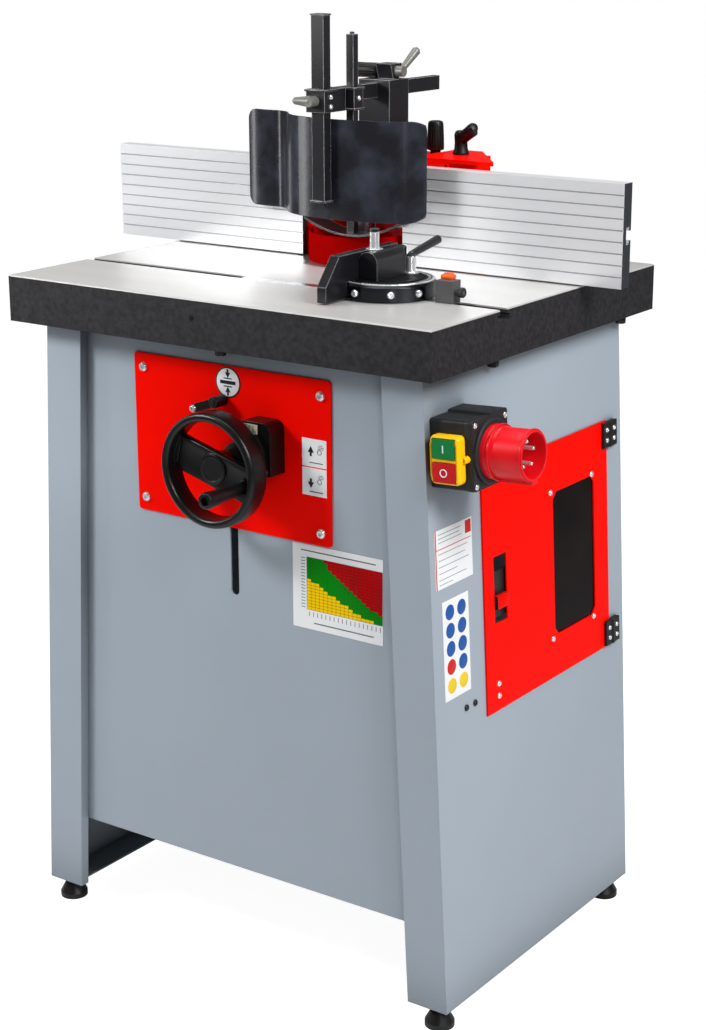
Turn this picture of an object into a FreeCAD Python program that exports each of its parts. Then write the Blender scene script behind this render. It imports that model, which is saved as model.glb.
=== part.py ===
import FreeCAD
import Part

import os
from math import acos, cos, pi, radians, sin, tan

# Spindle moulder with cast table, splayed sheet cabinet, split fence, cutter guard and mitre gauge.
# Working frame while modelling: x = 0, y = 0 at the middle of the table, z = 0 on the floor.
# The operator stands at -Y; the switch and the belt door are on the +X side.
# All solids are moved at the end so that the origin is the bottom centre of the whole machine.

V = FreeCAD.Vector
X_AXIS = V(1, 0, 0)
Y_AXIS = V(0, 1, 0)
Z_AXIS = V(0, 0, 1)

# Shared clearances, in millimetres like every length here
SLIDE_GAP = 0.3
RUN_GAP = 0.05
OVERRUN = 5.0
PARALLEL_SHARE = 0.999
END_SHARE = 0.55

# Cast table
TABLE_LENGTH = 650.0
TABLE_DEPTH = 540.0
TABLE_THICKNESS = 60.0
TABLE_HEIGHT = 900.0
TABLE_PLATE = 24.0
TABLE_WALL = 14.0
TABLE_EDGE = 1.5
TABLE_RIB = 12.0
TABLE_RIB_SPACING = 150.0
SEAT_RIB_WIDTH = 38.0
T_SLOT_FROM_FRONT = 156.0
T_SLOT_OPENING = 16.0
T_SLOT_NECK = 6.0
T_SLOT_WIDTH = 26.0
T_SLOT_FOOT = 7.0
SPINDLE_X = -20.0
SPINDLE_FROM_FRONT = 366.0
TABLE_HOLE_RADIUS = 80.0
HOLE_BOSS_WALL = 18.0
RING_SEAT_RADIUS = 92.0
RING_SEAT_DEPTH = 8.0
INNER_SEAT_RADIUS = 62.0
INNER_SEAT_DEPTH = 4.0
OUTER_RING_HOLE = 54.0
INNER_RING_HOLE = 40.0
SET_HOLE_RADIUS = 4.0
SET_HOLE_DEPTH = 18.0
SET_HOLE_DROP = 24.0

# Sheet cabinet with splayed sides
OVERHANG = 33.0
SPLAY_DEG = 3.0
SHEET = 2.5
FLANGE_WIDTH = 58.0
FRONT_RECESS = 14.0
TOP_LIP = 36.0
FOOT_LIP = 44.0
FRONT_GAP_BELOW = 102.0
REAR_GAP_BELOW = 60.0
PANEL_FOLD = 18.0
PANEL_SLOT_WIDTH = 13.0
PANEL_SLOT_X = 1.0
PANEL_SLOT_BELOW_PLATE = 90.0
PANEL_OPENING_RADIUS = 26.0

# Levelling feet
FOOT_HEIGHT = 30.0
FOOT_RADIUS = 19.0
FOOT_DOME_RADIUS = 12.0
FOOT_SKIRT = 7.0
FOOT_PAD_HEIGHT = 20.0
FOOT_INSET = 21.0
STUD_RADIUS = 5.0
STUD_LENGTH = 38.0
NUT_WIDTH = 17.0
NUT_HEIGHT = 8.0

# Handwheel and its red plate
PLATE_WIDTH = 308.0
PLATE_HEIGHT = 208.0
PLATE_SHEET = 2.0
PLATE_DROP = 28.0
PLATE_CORNER = 5.0
WHEEL_X = 12.0
WHEEL_DROP = 147.0
WHEEL_RADIUS = 72.5
WHEEL_RIM = 11.0
WHEEL_RIM_DEPTH = 31.0
WHEEL_RIM_ROUND = 4.0
WHEEL_STANDOFF = 34.0
WHEEL_WEB_WIDTH = 46.0
WHEEL_WEB_DEPTH = 10.0
WHEEL_WEB_RECESS = 14.0
WHEEL_WEB_TILT_DEG = -16.0
WHEEL_HUB_RADIUS = 19.0
WHEEL_HUB_LENGTH = 27.0
SHAFT_RADIUS = 8.0
BUSH_RADIUS = 17.0
BUSH_LENGTH = 14.0
BUSH_FLANGE_RADIUS = 24.0
CRANK_RADIUS = 51.5
CRANK_LENGTH = 78.0
CRANK_BASE_RADIUS = 9.5
CRANK_TIP_RADIUS = 10.5
CRANK_WAIST_RADIUS = 7.5
CRANK_PIN_RADIUS = 4.0
CRANK_PIN_LENGTH = 58.0
CRANK_SOCKET_DEPTH = 6.0
READOUT_WIDTH = 50.0
READOUT_HEIGHT = 66.0
READOUT_DEPTH = 29.0
READOUT_OFFSET_X = 22.0
READOUT_OFFSET_Z = -4.0
READOUT_ROUND = 12.0
LOCK_OFFSET_X = -22.0
LOCK_OFFSET_Z = 75.0
LOCK_BOSS_RADIUS = 7.5
LOCK_BOSS_LENGTH = 20.0
LOCK_PIN_RADIUS = 4.0
LOCK_ARM_LENGTH = 34.0
LOCK_ARM_DEPTH = 8.0
LOCK_ARM_HALF = 5.5
LOCK_ARM_TILT_DEG = 20.0

# Lift: mitre gears, screw, bracket and dovetail column
SCREW_Y_FROM_SPINDLE = -86.0
SCREW_RADIUS = 8.0
SCREW_JOURNAL_RADIUS = 6.0
GEAR_TEETH = 16
GEAR_PITCH_RADIUS = 26.0
GEAR_FACE = 12.0
GEAR_ADDENDUM = 2.6
GEAR_DEDENDUM = 3.4
GEAR_BACK = 4.0
GEAR_TOOTH_FOOT_SHARE = 0.52
GEAR_TOOTH_TIP_SHARE = 0.2
BRACKET_HALF_WIDTH = 34.0
BRACKET_WALL = 10.0
BRACKET_AHEAD = 42.0
BRACKET_BEHIND = 26.0
BRACKET_SHELF_DROP = 31.0
COLUMN_HALF_WIDTH = 70.0
COLUMN_SLAB = 27.0
COLUMN_DROP = 240.0
COLUMN_FLANGE = 14.0
COLUMN_FLANGE_REACH = 26.0
DOVETAIL_NECK_HALF = 32.0
DOVETAIL_HEAD_HALF = 40.0
DOVETAIL_DEPTH = 15.0

# Spindle carriage, spindle, motor and belt, drawn at mid lift
HOUSING_RADIUS = 48.0
HOUSING_TOP_DROP = 40.0
HOUSING_LENGTH = 198.0
BEARING_RADIUS = 36.0
BEARING_BORE = 17.5
BEARING_WIDTH = 17.0
BEARING_INSET = 6.0
CARRIAGE_SLAB_HALF = 55.0
CARRIAGE_SLAB_FRONT = 40.0
CARRIAGE_SLAB_BACK = 67.0
CARRIAGE_SLAB_HEIGHT = 140.0
CARRIAGE_SLAB_LIFT = 38.0
NUT_LUG_HALF = 18.0
NUT_LUG_HEIGHT = 18.0
NUT_LUG_ABOVE_SHAFT = 71.0
NUT_LUG_AHEAD = 12.0
MOTOR_PLATE = 10.0
MOTOR_OFFSET = 160.0
MOTOR_RADIUS = 66.0
MOTOR_FIN = 6.0
MOTOR_FIN_WIDTH = 4.0
MOTOR_FINS = 16
MOTOR_LENGTH = 172.0
MOTOR_COWL = 34.0
MOTOR_SHAFT_RADIUS = 12.0
MOTOR_SHAFT_GRIP = 20.0
TERMINAL_BOX = 44.0
SHOULDER_DROP = 32.0
COLLAR_RADIUS = 20.0
ARBOR_RADIUS = 15.0
ARBOR_LENGTH = 102.0
ARBOR_THREAD_RADIUS = 12.0
ARBOR_THREAD_LENGTH = 15.0
ARBOR_NUT_WIDTH = 36.0
ARBOR_NUT_HEIGHT = 14.0
SPACER_RADIUS = 24.0
SPACER_HEIGHTS = (30.0, 10.0, 5.0)
PULLEY_SEAT_RADIUS = 12.5
PULLEY_DROP = 16.0
PULLEY_FLANGE = 3.0
PULLEY_STEP = 22.0
PULLEY_LIP = 5.0
SPINDLE_STEP_RADII = (28.0, 38.0)
MOTOR_STEP_RADII = (52.0, 42.0)
BELT_THICKNESS = 4.0
BELT_WIDTH = 18.0

# Belt door on the right side, measured along the splayed panel
DOOR_DROP = 140.5
DOOR_HEIGHT = 313.0
DOOR_WIDTH = 316.0
DOOR_FROM_FRONT = 115.0
DOOR_SHEET = 2.0
DOOR_LAP = 12.0
WINDOW_WIDTH_SHARE = 0.342
WINDOW_HEIGHT_SHARE = 0.61
WINDOW_FRONT_SHARE = 0.541
WINDOW_DROP_SHARE = 0.211
WINDOW_CHAMFER = 9.0
PANE_MARGIN = 11.0
PANE_THICKNESS = 3.0
LATCH_SLOT_WIDTH = 30.0
LATCH_SLOT_HEIGHT = 86.0
LATCH_SLOT_FROM_DOOR_FRONT = 23.0
LATCH_DROP_SHARE = 0.362
LATCH_PLATE = 3.0
LATCH_PLATE_MARGIN = 5.0
LATCH_TAB_HEIGHT = 17.0
LATCH_TAB_LIFT = 18.0
LATCH_TAB_PROUD = 3.0
LATCH_TRAVEL = 26.0
KEEPER_HEIGHT = 14.0
HINGE_HEIGHT = 34.0
HINGE_LEAF = 18.0
HINGE_LEAF_THICKNESS = 4.0
HINGE_KNUCKLE = 3.7
HINGE_PIN = 2.0
HINGE_INSET = 2.0
HINGE_OFFSET = 4.0

# Switch box with plug inlet, on the right side
BOX_DROP = 53.0
BOX_HEIGHT = 83.0
BOX_DEPTH = 58.0
BOX_WIDTH = 77.0
BOX_FROM_FRONT = 11.0
BOX_CORNER = 4.0
BOX_STEP_WIDTH = 38.0
BOX_STEP_HEIGHT = 3.0
COVER_WIDTH = 40.0
COVER_HEIGHT = 58.0
COVER_PROUD = 19.0
COVER_INSET = 10.0
COVER_LIFT = 10.0
COVER_CORNER = 5.0
BUTTON_WIDTH = 30.0
BUTTON_HEIGHT = 23.0
BUTTON_SPACING = 28.0
BUTTON_DEPTH = 9.0
BUTTON_PROUD = 1.5
BUTTON_WELL = 13.0
INLET_LENGTH = 58.0
INLET_COLLAR = 20.0
INLET_COLLAR_RADIUS = 32.5
INLET_RADIUS = 30.0
INLET_WALL = 2.8
INLET_FLOOR = 8.0
INLET_PIN_RADIUS = 2.6
INLET_PIN_CIRCLE = 16.5
INLET_PIN_LENGTH = 38.0
INLET_PINS = 5
INLET_KEY_WIDTH = 12.0
INLET_KEY_HEIGHT = 4.0

# Dust hood, cutter cover and split fence
FENCE_AHEAD = 30.0
FENCE_LENGTH = 323.0
FENCE_GAP = 162.0
FENCE_HEIGHT = 129.0
FENCE_THICKNESS = 20.0
FENCE_LIFT = 2.0
FENCE_GROOVES = 8
FENCE_GROOVE_WIDTH = 1.6
FENCE_GROOVE_DEPTH = 1.2
FENCE_T_OPENING = 12.0
FENCE_T_NECK = 5.0
FENCE_T_WIDTH = 22.0
FENCE_T_DEPTH = 12.0
HOOD_HALF_WIDTH = 138.0
HOOD_DEPTH = 105.0
HOOD_HEIGHT = 136.0
HOOD_SHEET = 2.0
JAMB_SHEET = 3.0
PORT_RADIUS = 50.0
PORT_WALL = 2.0
PORT_LENGTH = 72.0
PORT_LIFT = 62.0
COVER_RING_RADIUS = 75.0
COVER_RING_WALL = 2.0
COVER_RING_HEIGHT = 38.0
TOUCH_GAP = 0.5
BRACKET_PLATE = 5.0
RIGHT_PLATE_WIDTH = 118.0
RIGHT_PLATE_DEPTH = 102.0
RIGHT_PLATE_REAR_WIDTH = 42.0
BRACKET_SIDE_GAP = 4.0
FENCE_ADJUST = 12.0
LEVER_FROM_JAMB = 40.0
LEVER_BACK = 58.0
LEVER_STUD_RADIUS = 5.0
LEVER_HUB_RADIUS = 7.5
LEVER_HUB_HEIGHT = 22.0
LEVER_ARM_LENGTH = 30.0
LEVER_ARM_RISE = 15.0
LEVER_ARM_RADIUS = 5.5
LEVER_TIP_RADIUS = 5.8
LEVER_ARM_DEG = -25.0
KNOB_X_FROM_SPINDLE = 67.0
KNOB_BACK = 80.0
KNOB_RADIUS = 11.5
KNOB_HEIGHT = 44.0
KNOB_NECK = 6.0
KNOB_STUD_RADIUS = 5.0

# Guard: column, sliding arm, post with curved shield, hold-down bar with curved shoe
GUARD_X_FROM_SPINDLE = 12.0
GUARD_COLUMN_BACK = 15.0
GUARD_COLUMN_WIDTH = 49.0
GUARD_COLUMN_DEPTH = 45.0
GUARD_COLUMN_HEIGHT = 100.0
GUARD_COLUMN_WALL = 4.0
CLAMP_BLOCK_WIDTH = 24.0
CLAMP_BLOCK_DEPTH = 26.0
CLAMP_BLOCK_HEIGHT = 20.0
CLAMP_BLOCK_FOOT_SHARE = 0.5
CLAMP_X_FROM_ARM = 8.0
ARM_WIDTH = 10.0
ARM_HEIGHT = 19.0
ARM_DROP = 4.0
ARM_REAR_REACH = 106.0
POST_SIZE = 19.0
POST_DEPTH = 15.0
POST_WALL = 2.0
POST_CAP = 2.0
POST_CAP_LIP = 1.0
POST_BOTTOM_LIFT = 25.0
POST_LENGTH = 232.0
SLEEVE_WALL = 5.0
SLEEVE_BACK = 26.0
SLEEVE_BELOW = 10.0
POST_KNOB_LENGTH = 25.0
POST_KNOB_RADIUS = 7.5
POST_KNOB_TIP = 4.5
POST_KNOB_STUD = 4.0
POST_KNOB_HUB = 6.5
POST_KNOB_STANDOFF = 9.0
POST_KNOB_GAP = 2.0
SHIELD_AHEAD = 76.0
SHIELD_LIFT = 66.0
SHIELD_HEIGHT = 128.0
SHIELD_SHEET = 3.0
SHIELD_CORNER = 14.0
SHIELD_RIGHT = 126.0
SHIELD_START_DEG = 250.0
SHIELD_RADII = (60.0, 240.0, 80.0, 40.0, 110.0)
SHIELD_BENDS_DEG = (-54.0, -33.0, -38.0, 60.0, -23.0)
BAR_SIZE = 11.0
BAR_X_FROM_ARM = 15.0
BAR_BEHIND_SHIELD = 40.0
BAR_PIN_RADIUS = 3.0
BAR_PIN_HEIGHT = 3.0
BAR_TOP_ABOVE_ARM = 66.0
COLLAR_WALL = 4.5
COLLAR_HEIGHT = 29.0
SHOE_HALF_LENGTH = 72.0
SHOE_SAG = 18.0
SHOE_WIDTH = 36.0
SHOE_AHEAD_OF_BAR = 16.0
SHOE_SHEET = 2.5
SHOE_LIFT = 42.0
SHOE_X_FROM_BAR = 5.0
ARM_LEVER_LENGTH = 36.0
ARM_LEVER_DEG = 45.0
ARM_LEVER_LEAN = 8.0
ARM_LEVER_HUB = 7.0
ARM_LEVER_HUB_LENGTH = 12.0
ARM_KNOB_RADIUS = 10.0
ARM_KNOB_LENGTH = 48.0
CLAMP_STUD_RADIUS = 4.0

# Mitre gauge
MITRE_X = 160.0
MITRE_RADIUS = 60.0
MITRE_BASE_HEIGHT = 21.0
MITRE_RIM_DROP = 3.0
MITRE_BAR_LEFT = 220.0
MITRE_BAR_RIGHT = 98.5
MITRE_PIVOT_RADIUS = 8.0
MITRE_PIVOT_HEIGHT = 9.0
HEAD_BACK = 40.0
HEAD_FRONT = 34.0
HEAD_HEIGHT = 35.0
HEAD_OFFSET = 20.0
HEAD_BARREL_RADIUS = 14.0
HEAD_STUD_RADIUS = 5.5
HEAD_STUD_HEIGHT = 25.0
HEAD_STUD_FRONT = 8.0
HEAD_STUD_INSET = 6.5
MITRE_FENCE_THICKNESS = 13.0
MITRE_FENCE_FRONT = 100.0
MITRE_FENCE_BACK = 52.0
MITRE_FENCE_HEIGHT = 53.0
MITRE_FENCE_TOE = 19.0
MITRE_FENCE_SLOPE = 28.0
MITRE_LEVER_BACK = 37.0
MITRE_LEVER_SIDE = 10.0
MITRE_LEVER_HUB = 5.5
MITRE_LEVER_HUB_HEIGHT = 24.0
MITRE_LEVER_WASHER = 9.0
MITRE_LEVER_LENGTH = 60.0
MITRE_LEVER_RISE = 11.0
MITRE_LEVER_RADIUS = 4.5
STOP_LENGTH = 23.0
STOP_DEPTH = 20.0
STOP_HEIGHT = 27.0
STOP_SCREW_RADIUS = 4.0
STOP_SCREW_LENGTH = 11.0

# Places worked out from the dimensions above
TABLE_TOP = TABLE_HEIGHT
TABLE_BOTTOM = TABLE_TOP - TABLE_THICKNESS
TABLE_HALF_X = TABLE_LENGTH / 2
TABLE_HALF_Y = TABLE_DEPTH / 2
SPINDLE_Y = SPINDLE_FROM_FRONT - TABLE_HALF_Y
SLOT_Y = T_SLOT_FROM_FRONT - TABLE_HALF_Y
CABINET_TOP = TABLE_BOTTOM
CABINET_HALF_X = TABLE_HALF_X - OVERHANG
CABINET_HALF_Y = TABLE_HALF_Y - OVERHANG
SPLAY = radians(SPLAY_DEG)
SIDE_LENGTH = (CABINET_TOP - FOOT_HEIGHT) / cos(SPLAY)
FRONT_FACE = -CABINET_HALF_Y + FRONT_RECESS
PLATE_FACE = FRONT_FACE - PLATE_SHEET
WHEEL_Z = CABINET_TOP - WHEEL_DROP
WHEEL_BACK = PLATE_FACE - WHEEL_STANDOFF
WHEEL_FRONT = WHEEL_BACK - WHEEL_RIM_DEPTH
SCREW_Y = SPINDLE_Y + SCREW_Y_FROM_SPINDLE
GUIDE_Y = SPINDLE_Y + CARRIAGE_SLAB_BACK
HOUSING_TOP = TABLE_BOTTOM - HOUSING_TOP_DROP
HOUSING_BOTTOM = HOUSING_TOP - HOUSING_LENGTH
MOTOR_X = SPINDLE_X + MOTOR_OFFSET
PULLEY_TOP = HOUSING_BOTTOM - MOTOR_PLATE - PULLEY_DROP
PULLEY_BOTTOM = PULLEY_TOP - 2 * PULLEY_STEP - 3 * PULLEY_FLANGE
SHOULDER_Z = TABLE_TOP - SHOULDER_DROP
ARBOR_TOP = SHOULDER_Z + ARBOR_LENGTH + ARBOR_THREAD_LENGTH
FENCE_FACE = SPINDLE_Y - FENCE_AHEAD
FENCE_BACK = FENCE_FACE + FENCE_THICKNESS
FENCE_BOTTOM = TABLE_TOP + FENCE_LIFT
HOOD_FRONT = FENCE_BACK + SLIDE_GAP
HOOD_BACK = FENCE_BACK + HOOD_DEPTH
HOOD_TOP = TABLE_TOP + HOOD_HEIGHT
HOOD_LEFT = SPINDLE_X - HOOD_HALF_WIDTH
HOOD_RIGHT = SPINDLE_X + HOOD_HALF_WIDTH
GAP_LEFT = SPINDLE_X - FENCE_GAP / 2
GAP_RIGHT = SPINDLE_X + FENCE_GAP / 2
FENCE_T_Z = FENCE_BOTTOM + FENCE_HEIGHT / 2
GUARD_X = SPINDLE_X + GUARD_X_FROM_SPINDLE
COLUMN_FRONT = FENCE_BACK + GUARD_COLUMN_BACK
COLUMN_REAR = COLUMN_FRONT + GUARD_COLUMN_DEPTH
COLUMN_TOP = HOOD_TOP + GUARD_COLUMN_HEIGHT
ARM_TOP = COLUMN_TOP - ARM_DROP
ARM_BOTTOM = ARM_TOP - ARM_HEIGHT
SHIELD_FRONT = FENCE_FACE - SHIELD_AHEAD
SHIELD_BOTTOM = TABLE_TOP + SHIELD_LIFT
POST_BACK = SHIELD_FRONT
POST_FRONT = POST_BACK - POST_DEPTH
POST_BOTTOM = SHIELD_BOTTOM + POST_BOTTOM_LIFT
POST_TOP = POST_BOTTOM + POST_LENGTH
SLEEVE_BOTTOM = ARM_BOTTOM - SLEEVE_BELOW
SLEEVE_FRONT = POST_FRONT - SLEEVE_WALL
BAR_X = GUARD_X + BAR_X_FROM_ARM
BAR_Y = SHIELD_FRONT + BAR_BEHIND_SHIELD
BAR_TOP = ARM_TOP + BAR_TOP_ABOVE_ARM
SHOE_BOTTOM = TABLE_TOP + SHOE_LIFT
LEVER_X = GAP_RIGHT + LEVER_FROM_JAMB
LEVER_Y = FENCE_BACK + LEVER_BACK
KNOB_X = SPINDLE_X + KNOB_X_FROM_SPINDLE
KNOB_Y = FENCE_BACK + KNOB_BACK
CLAMP_Z = COLUMN_TOP + CLAMP_BLOCK_HEIGHT / 2
CLAMP_X = GUARD_X + CLAMP_X_FROM_ARM
CLAMP_Y = COLUMN_FRONT + GUARD_COLUMN_DEPTH / 2
MITRE_TOP = TABLE_TOP + MITRE_BASE_HEIGHT
HEAD_X = MITRE_X - HEAD_OFFSET
MITRE_LEVER_X = MITRE_X + MITRE_LEVER_SIDE
MITRE_LEVER_Y = SLOT_Y + MITRE_LEVER_BACK
DOOR_FRONT = -CABINET_HALF_Y + DOOR_FROM_FRONT
DOOR_REAR = DOOR_FRONT + DOOR_WIDTH
WINDOW_WIDTH = DOOR_WIDTH * WINDOW_WIDTH_SHARE
WINDOW_HEIGHT = DOOR_HEIGHT * WINDOW_HEIGHT_SHARE
WINDOW_FRONT = DOOR_FRONT + DOOR_WIDTH * WINDOW_FRONT_SHARE
WINDOW_TOP = -DOOR_DROP - DOOR_HEIGHT * WINDOW_DROP_SHARE
LATCH_SLOT_TOP = -DOOR_DROP - DOOR_HEIGHT * LATCH_DROP_SHARE
HINGE_Y = DOOR_REAR + HINGE_OFFSET
HINGE_X = SLIDE_GAP + DOOR_SHEET + HINGE_LEAF_THICKNESS / 2
LATCH_Z = LATCH_SLOT_TOP - LATCH_SLOT_HEIGHT + LATCH_TAB_LIFT
BOX_FRONT = -CABINET_HALF_Y + BOX_FROM_FRONT
BOX_BOTTOM = -BOX_DROP - BOX_HEIGHT
COVER_FACE = BOX_FRONT - COVER_PROUD
INLET_Y = BOX_FRONT + BOX_WIDTH / 2
INLET_Z = BOX_BOTTOM + BOX_HEIGHT / 2
BUTTON_X = COVER_INSET + COVER_WIDTH / 2
BUTTON_Z = BOX_BOTTOM + COVER_LIFT + COVER_HEIGHT / 2


# Plain building blocks

def box(low, high):
    """Block between two opposite corners."""
    return Part.makeBox(high[0] - low[0], high[1] - low[1], high[2] - low[2], V(*low))


def rod(radius, start, end):
    """Round bar from one point to another."""
    along = V(*end) - V(*start)
    return Part.makeCylinder(radius, along.Length, V(*start), along)


def taper(radius_start, radius_end, start, end):
    """Round bar whose radius changes along its length."""
    along = V(*end) - V(*start)
    return Part.makeCone(radius_start, radius_end, along.Length, V(*start), along)


def blunt(radius, start, end):
    """Chamfered end cap for a round bar that runs from start to end."""
    along = (V(*end) - V(*start)).normalize() * radius * END_SHARE
    return taper(radius, radius * END_SHARE, end, V(*end) + along)


def ring(outer, inner, start, end):
    """Tube between two points."""
    return rod(outer, start, end).cut(rod(inner, start, end))


def prism(points, axis, low, high):
    """Outline of pairs, drawn square to an axis, pushed along it from low to high."""
    place = {"x": lambda a, b: V(low, a, b), "y": lambda a, b: V(a, low, b), "z": lambda a, b: V(a, b, low)}
    corners = [place[axis](a, b) for a, b in points]
    face = Part.Face(Part.makePolygon(corners + corners[:1]))
    return face.extrude({"x": X_AXIS, "y": Y_AXIS, "z": Z_AXIS}[axis] * (high - low))


def turned(profile, base, axis=Z_AXIS):
    """Outline of (radius, height) pairs turned about an axis through base."""
    corners = [V(radius, 0, height) for radius, height in profile]
    shape = Part.Face(Part.makePolygon(corners + corners[:1])).revolve(V(0, 0, 0), Z_AXIS, 360)
    shape.Placement = FreeCAD.Placement(V(*base), FreeCAD.Rotation(Z_AXIS, axis))
    return shape


def hexagon(width, base, height, bore):
    """Hexagon nut standing on base, with a plain bore."""
    corner = width / 2 / cos(pi / 6)
    points = [(base[0] + corner * cos(n * pi / 3), base[1] + corner * sin(n * pi / 3)) for n in range(6)]
    nut = prism(points, "z", base[2], base[2] + height)
    return nut.cut(rod(bore, base, (base[0], base[1], base[2] + height)))


def joined(*shapes):
    """One solid from touching or overlapping shapes."""
    return shapes[0].multiFuse(list(shapes[1:])).removeSplitter()


def without(shape, *tools):
    """Shape with the tools cut away."""
    for tool in tools:
        shape = shape.cut(tool)
    return shape


def group(*shapes):
    """Separate solids kept in one node."""
    return Part.makeCompound([solid for shape in shapes for solid in shape.Solids])


def rounded(shape, axis, radius):
    """Fillet on every straight edge that runs along an axis."""
    edges = []
    for edge in shape.Edges:
        if isinstance(edge.Curve, Part.Line):
            if abs(edge.tangentAt(edge.FirstParameter).dot(axis)) > PARALLEL_SHARE:
                edges.append(edge)
    return shape.makeFillet(radius, edges)


def mirrored(shape, x=0.0):
    """Mirror image about a plane square to X."""
    return shape.mirror(V(x, 0, 0), X_AXIS)


def on_side(shape):
    """From the flat drawing of the right side, with x = 0 outside and z = 0 at the top, to its place."""
    turn = FreeCAD.Placement(V(CABINET_HALF_X, 0, CABINET_TOP), FreeCAD.Rotation(Y_AXIS, -SPLAY_DEG))
    moved = shape.copy()
    moved.Placement = turn.multiply(moved.Placement)
    return moved


def inner_half(z):
    """Half the clear width between the side sheets at height z."""
    return CABINET_HALF_X + (CABINET_TOP - z) * tan(SPLAY) - SHEET / cos(SPLAY)


# Table

def table_top():
    """Cast plate with rim, ribs, spindle hole with ring seat, and a T-slot from side to side."""
    low = (-TABLE_HALF_X, -TABLE_HALF_Y, TABLE_BOTTOM)
    slab = box(low, (TABLE_HALF_X, TABLE_HALF_Y, TABLE_TOP))
    rim = [edge for edge in slab.Edges if edge.BoundBox.ZMin > TABLE_TOP - TABLE_EDGE]
    slab = slab.makeChamfer(TABLE_EDGE, rim)
    ceiling = TABLE_TOP - TABLE_PLATE
    pocket = box((-TABLE_HALF_X + TABLE_WALL, -TABLE_HALF_Y + TABLE_WALL, TABLE_BOTTOM),
                 (TABLE_HALF_X - TABLE_WALL, TABLE_HALF_Y - TABLE_WALL, ceiling))
    seat_in = CABINET_HALF_X - SEAT_RIB_WIDTH
    seat = box((seat_in, -TABLE_HALF_Y, TABLE_BOTTOM), (CABINET_HALF_X, TABLE_HALF_Y, ceiling))
    boss = rod(TABLE_HOLE_RADIUS + HOLE_BOSS_WALL, (SPINDLE_X, SPINDLE_Y, TABLE_BOTTOM),
               (SPINDLE_X, SPINDLE_Y, ceiling))
    guide_pad = box((SPINDLE_X - COLUMN_HALF_WIDTH, GUIDE_Y, TABLE_BOTTOM),
                    (SPINDLE_X + COLUMN_HALF_WIDTH, GUIDE_Y + COLUMN_SLAB + COLUMN_FLANGE_REACH, ceiling))
    lift_pad = box((WHEEL_X - BRACKET_HALF_WIDTH, SCREW_Y - BRACKET_AHEAD, TABLE_BOTTOM),
                   (WHEEL_X + BRACKET_HALF_WIDTH, SPINDLE_Y, ceiling))
    rib_y = [SLOT_Y, SPINDLE_Y]
    ribs = [box((-TABLE_HALF_X, y - TABLE_RIB / 2, TABLE_BOTTOM),
                (TABLE_HALF_X, y + TABLE_RIB / 2, ceiling))
            for y in rib_y]
    ribs += [box((x - TABLE_RIB / 2, -TABLE_HALF_Y, TABLE_BOTTOM),
                 (x + TABLE_RIB / 2, TABLE_HALF_Y, ceiling))
             for x in (-TABLE_RIB_SPACING, TABLE_RIB_SPACING)]
    pocket = without(pocket, seat, mirrored(seat), boss, guide_pad, lift_pad, *ribs)
    well = rod(TABLE_HOLE_RADIUS, (SPINDLE_X, SPINDLE_Y, TABLE_BOTTOM - OVERRUN),
               (SPINDLE_X, SPINDLE_Y, TABLE_TOP + OVERRUN))
    ring_seat = rod(RING_SEAT_RADIUS, (SPINDLE_X, SPINDLE_Y, TABLE_TOP - RING_SEAT_DEPTH),
                    (SPINDLE_X, SPINDLE_Y, TABLE_TOP + OVERRUN))
    neck_z = TABLE_TOP - T_SLOT_NECK
    neck = box((-TABLE_HALF_X - OVERRUN, SLOT_Y - T_SLOT_OPENING / 2, neck_z),
               (TABLE_HALF_X + OVERRUN, SLOT_Y + T_SLOT_OPENING / 2, TABLE_TOP + OVERRUN))
    foot = box((-TABLE_HALF_X - OVERRUN, SLOT_Y - T_SLOT_WIDTH / 2, neck_z - T_SLOT_FOOT),
               (TABLE_HALF_X + OVERRUN, SLOT_Y + T_SLOT_WIDTH / 2, neck_z))
    set_hole = rod(SET_HOLE_RADIUS, (SPINDLE_X, -TABLE_HALF_Y - OVERRUN, TABLE_TOP - SET_HOLE_DROP),
                   (SPINDLE_X, -TABLE_HALF_Y + SET_HOLE_DEPTH, TABLE_TOP - SET_HOLE_DROP))
    knob_hole = rod(KNOB_STUD_RADIUS, (KNOB_X, KNOB_Y, TABLE_TOP - TABLE_PLATE - OVERRUN),
                    (KNOB_X, KNOB_Y, TABLE_TOP + OVERRUN))
    return without(slab, pocket, well, ring_seat, neck, foot, set_hole, knob_hole)


def table_rings():
    """Two steel rings that close the spindle hole, the small one seated in the large one."""
    seat_z = TABLE_TOP - RING_SEAT_DEPTH
    step_z = RING_SEAT_DEPTH - INNER_SEAT_DEPTH
    base = (SPINDLE_X, SPINDLE_Y, seat_z)
    outer = turned([(OUTER_RING_HOLE, 0), (RING_SEAT_RADIUS - SLIDE_GAP, 0),
                    (RING_SEAT_RADIUS - SLIDE_GAP, RING_SEAT_DEPTH), (INNER_SEAT_RADIUS, RING_SEAT_DEPTH),
                    (INNER_SEAT_RADIUS, step_z), (OUTER_RING_HOLE, step_z)], base)
    inner = ring(INNER_SEAT_RADIUS - SLIDE_GAP, INNER_RING_HOLE, (SPINDLE_X, SPINDLE_Y, seat_z + step_z),
                 (SPINDLE_X, SPINDLE_Y, TABLE_TOP))
    return group(outer, inner)


# Cabinet

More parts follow.
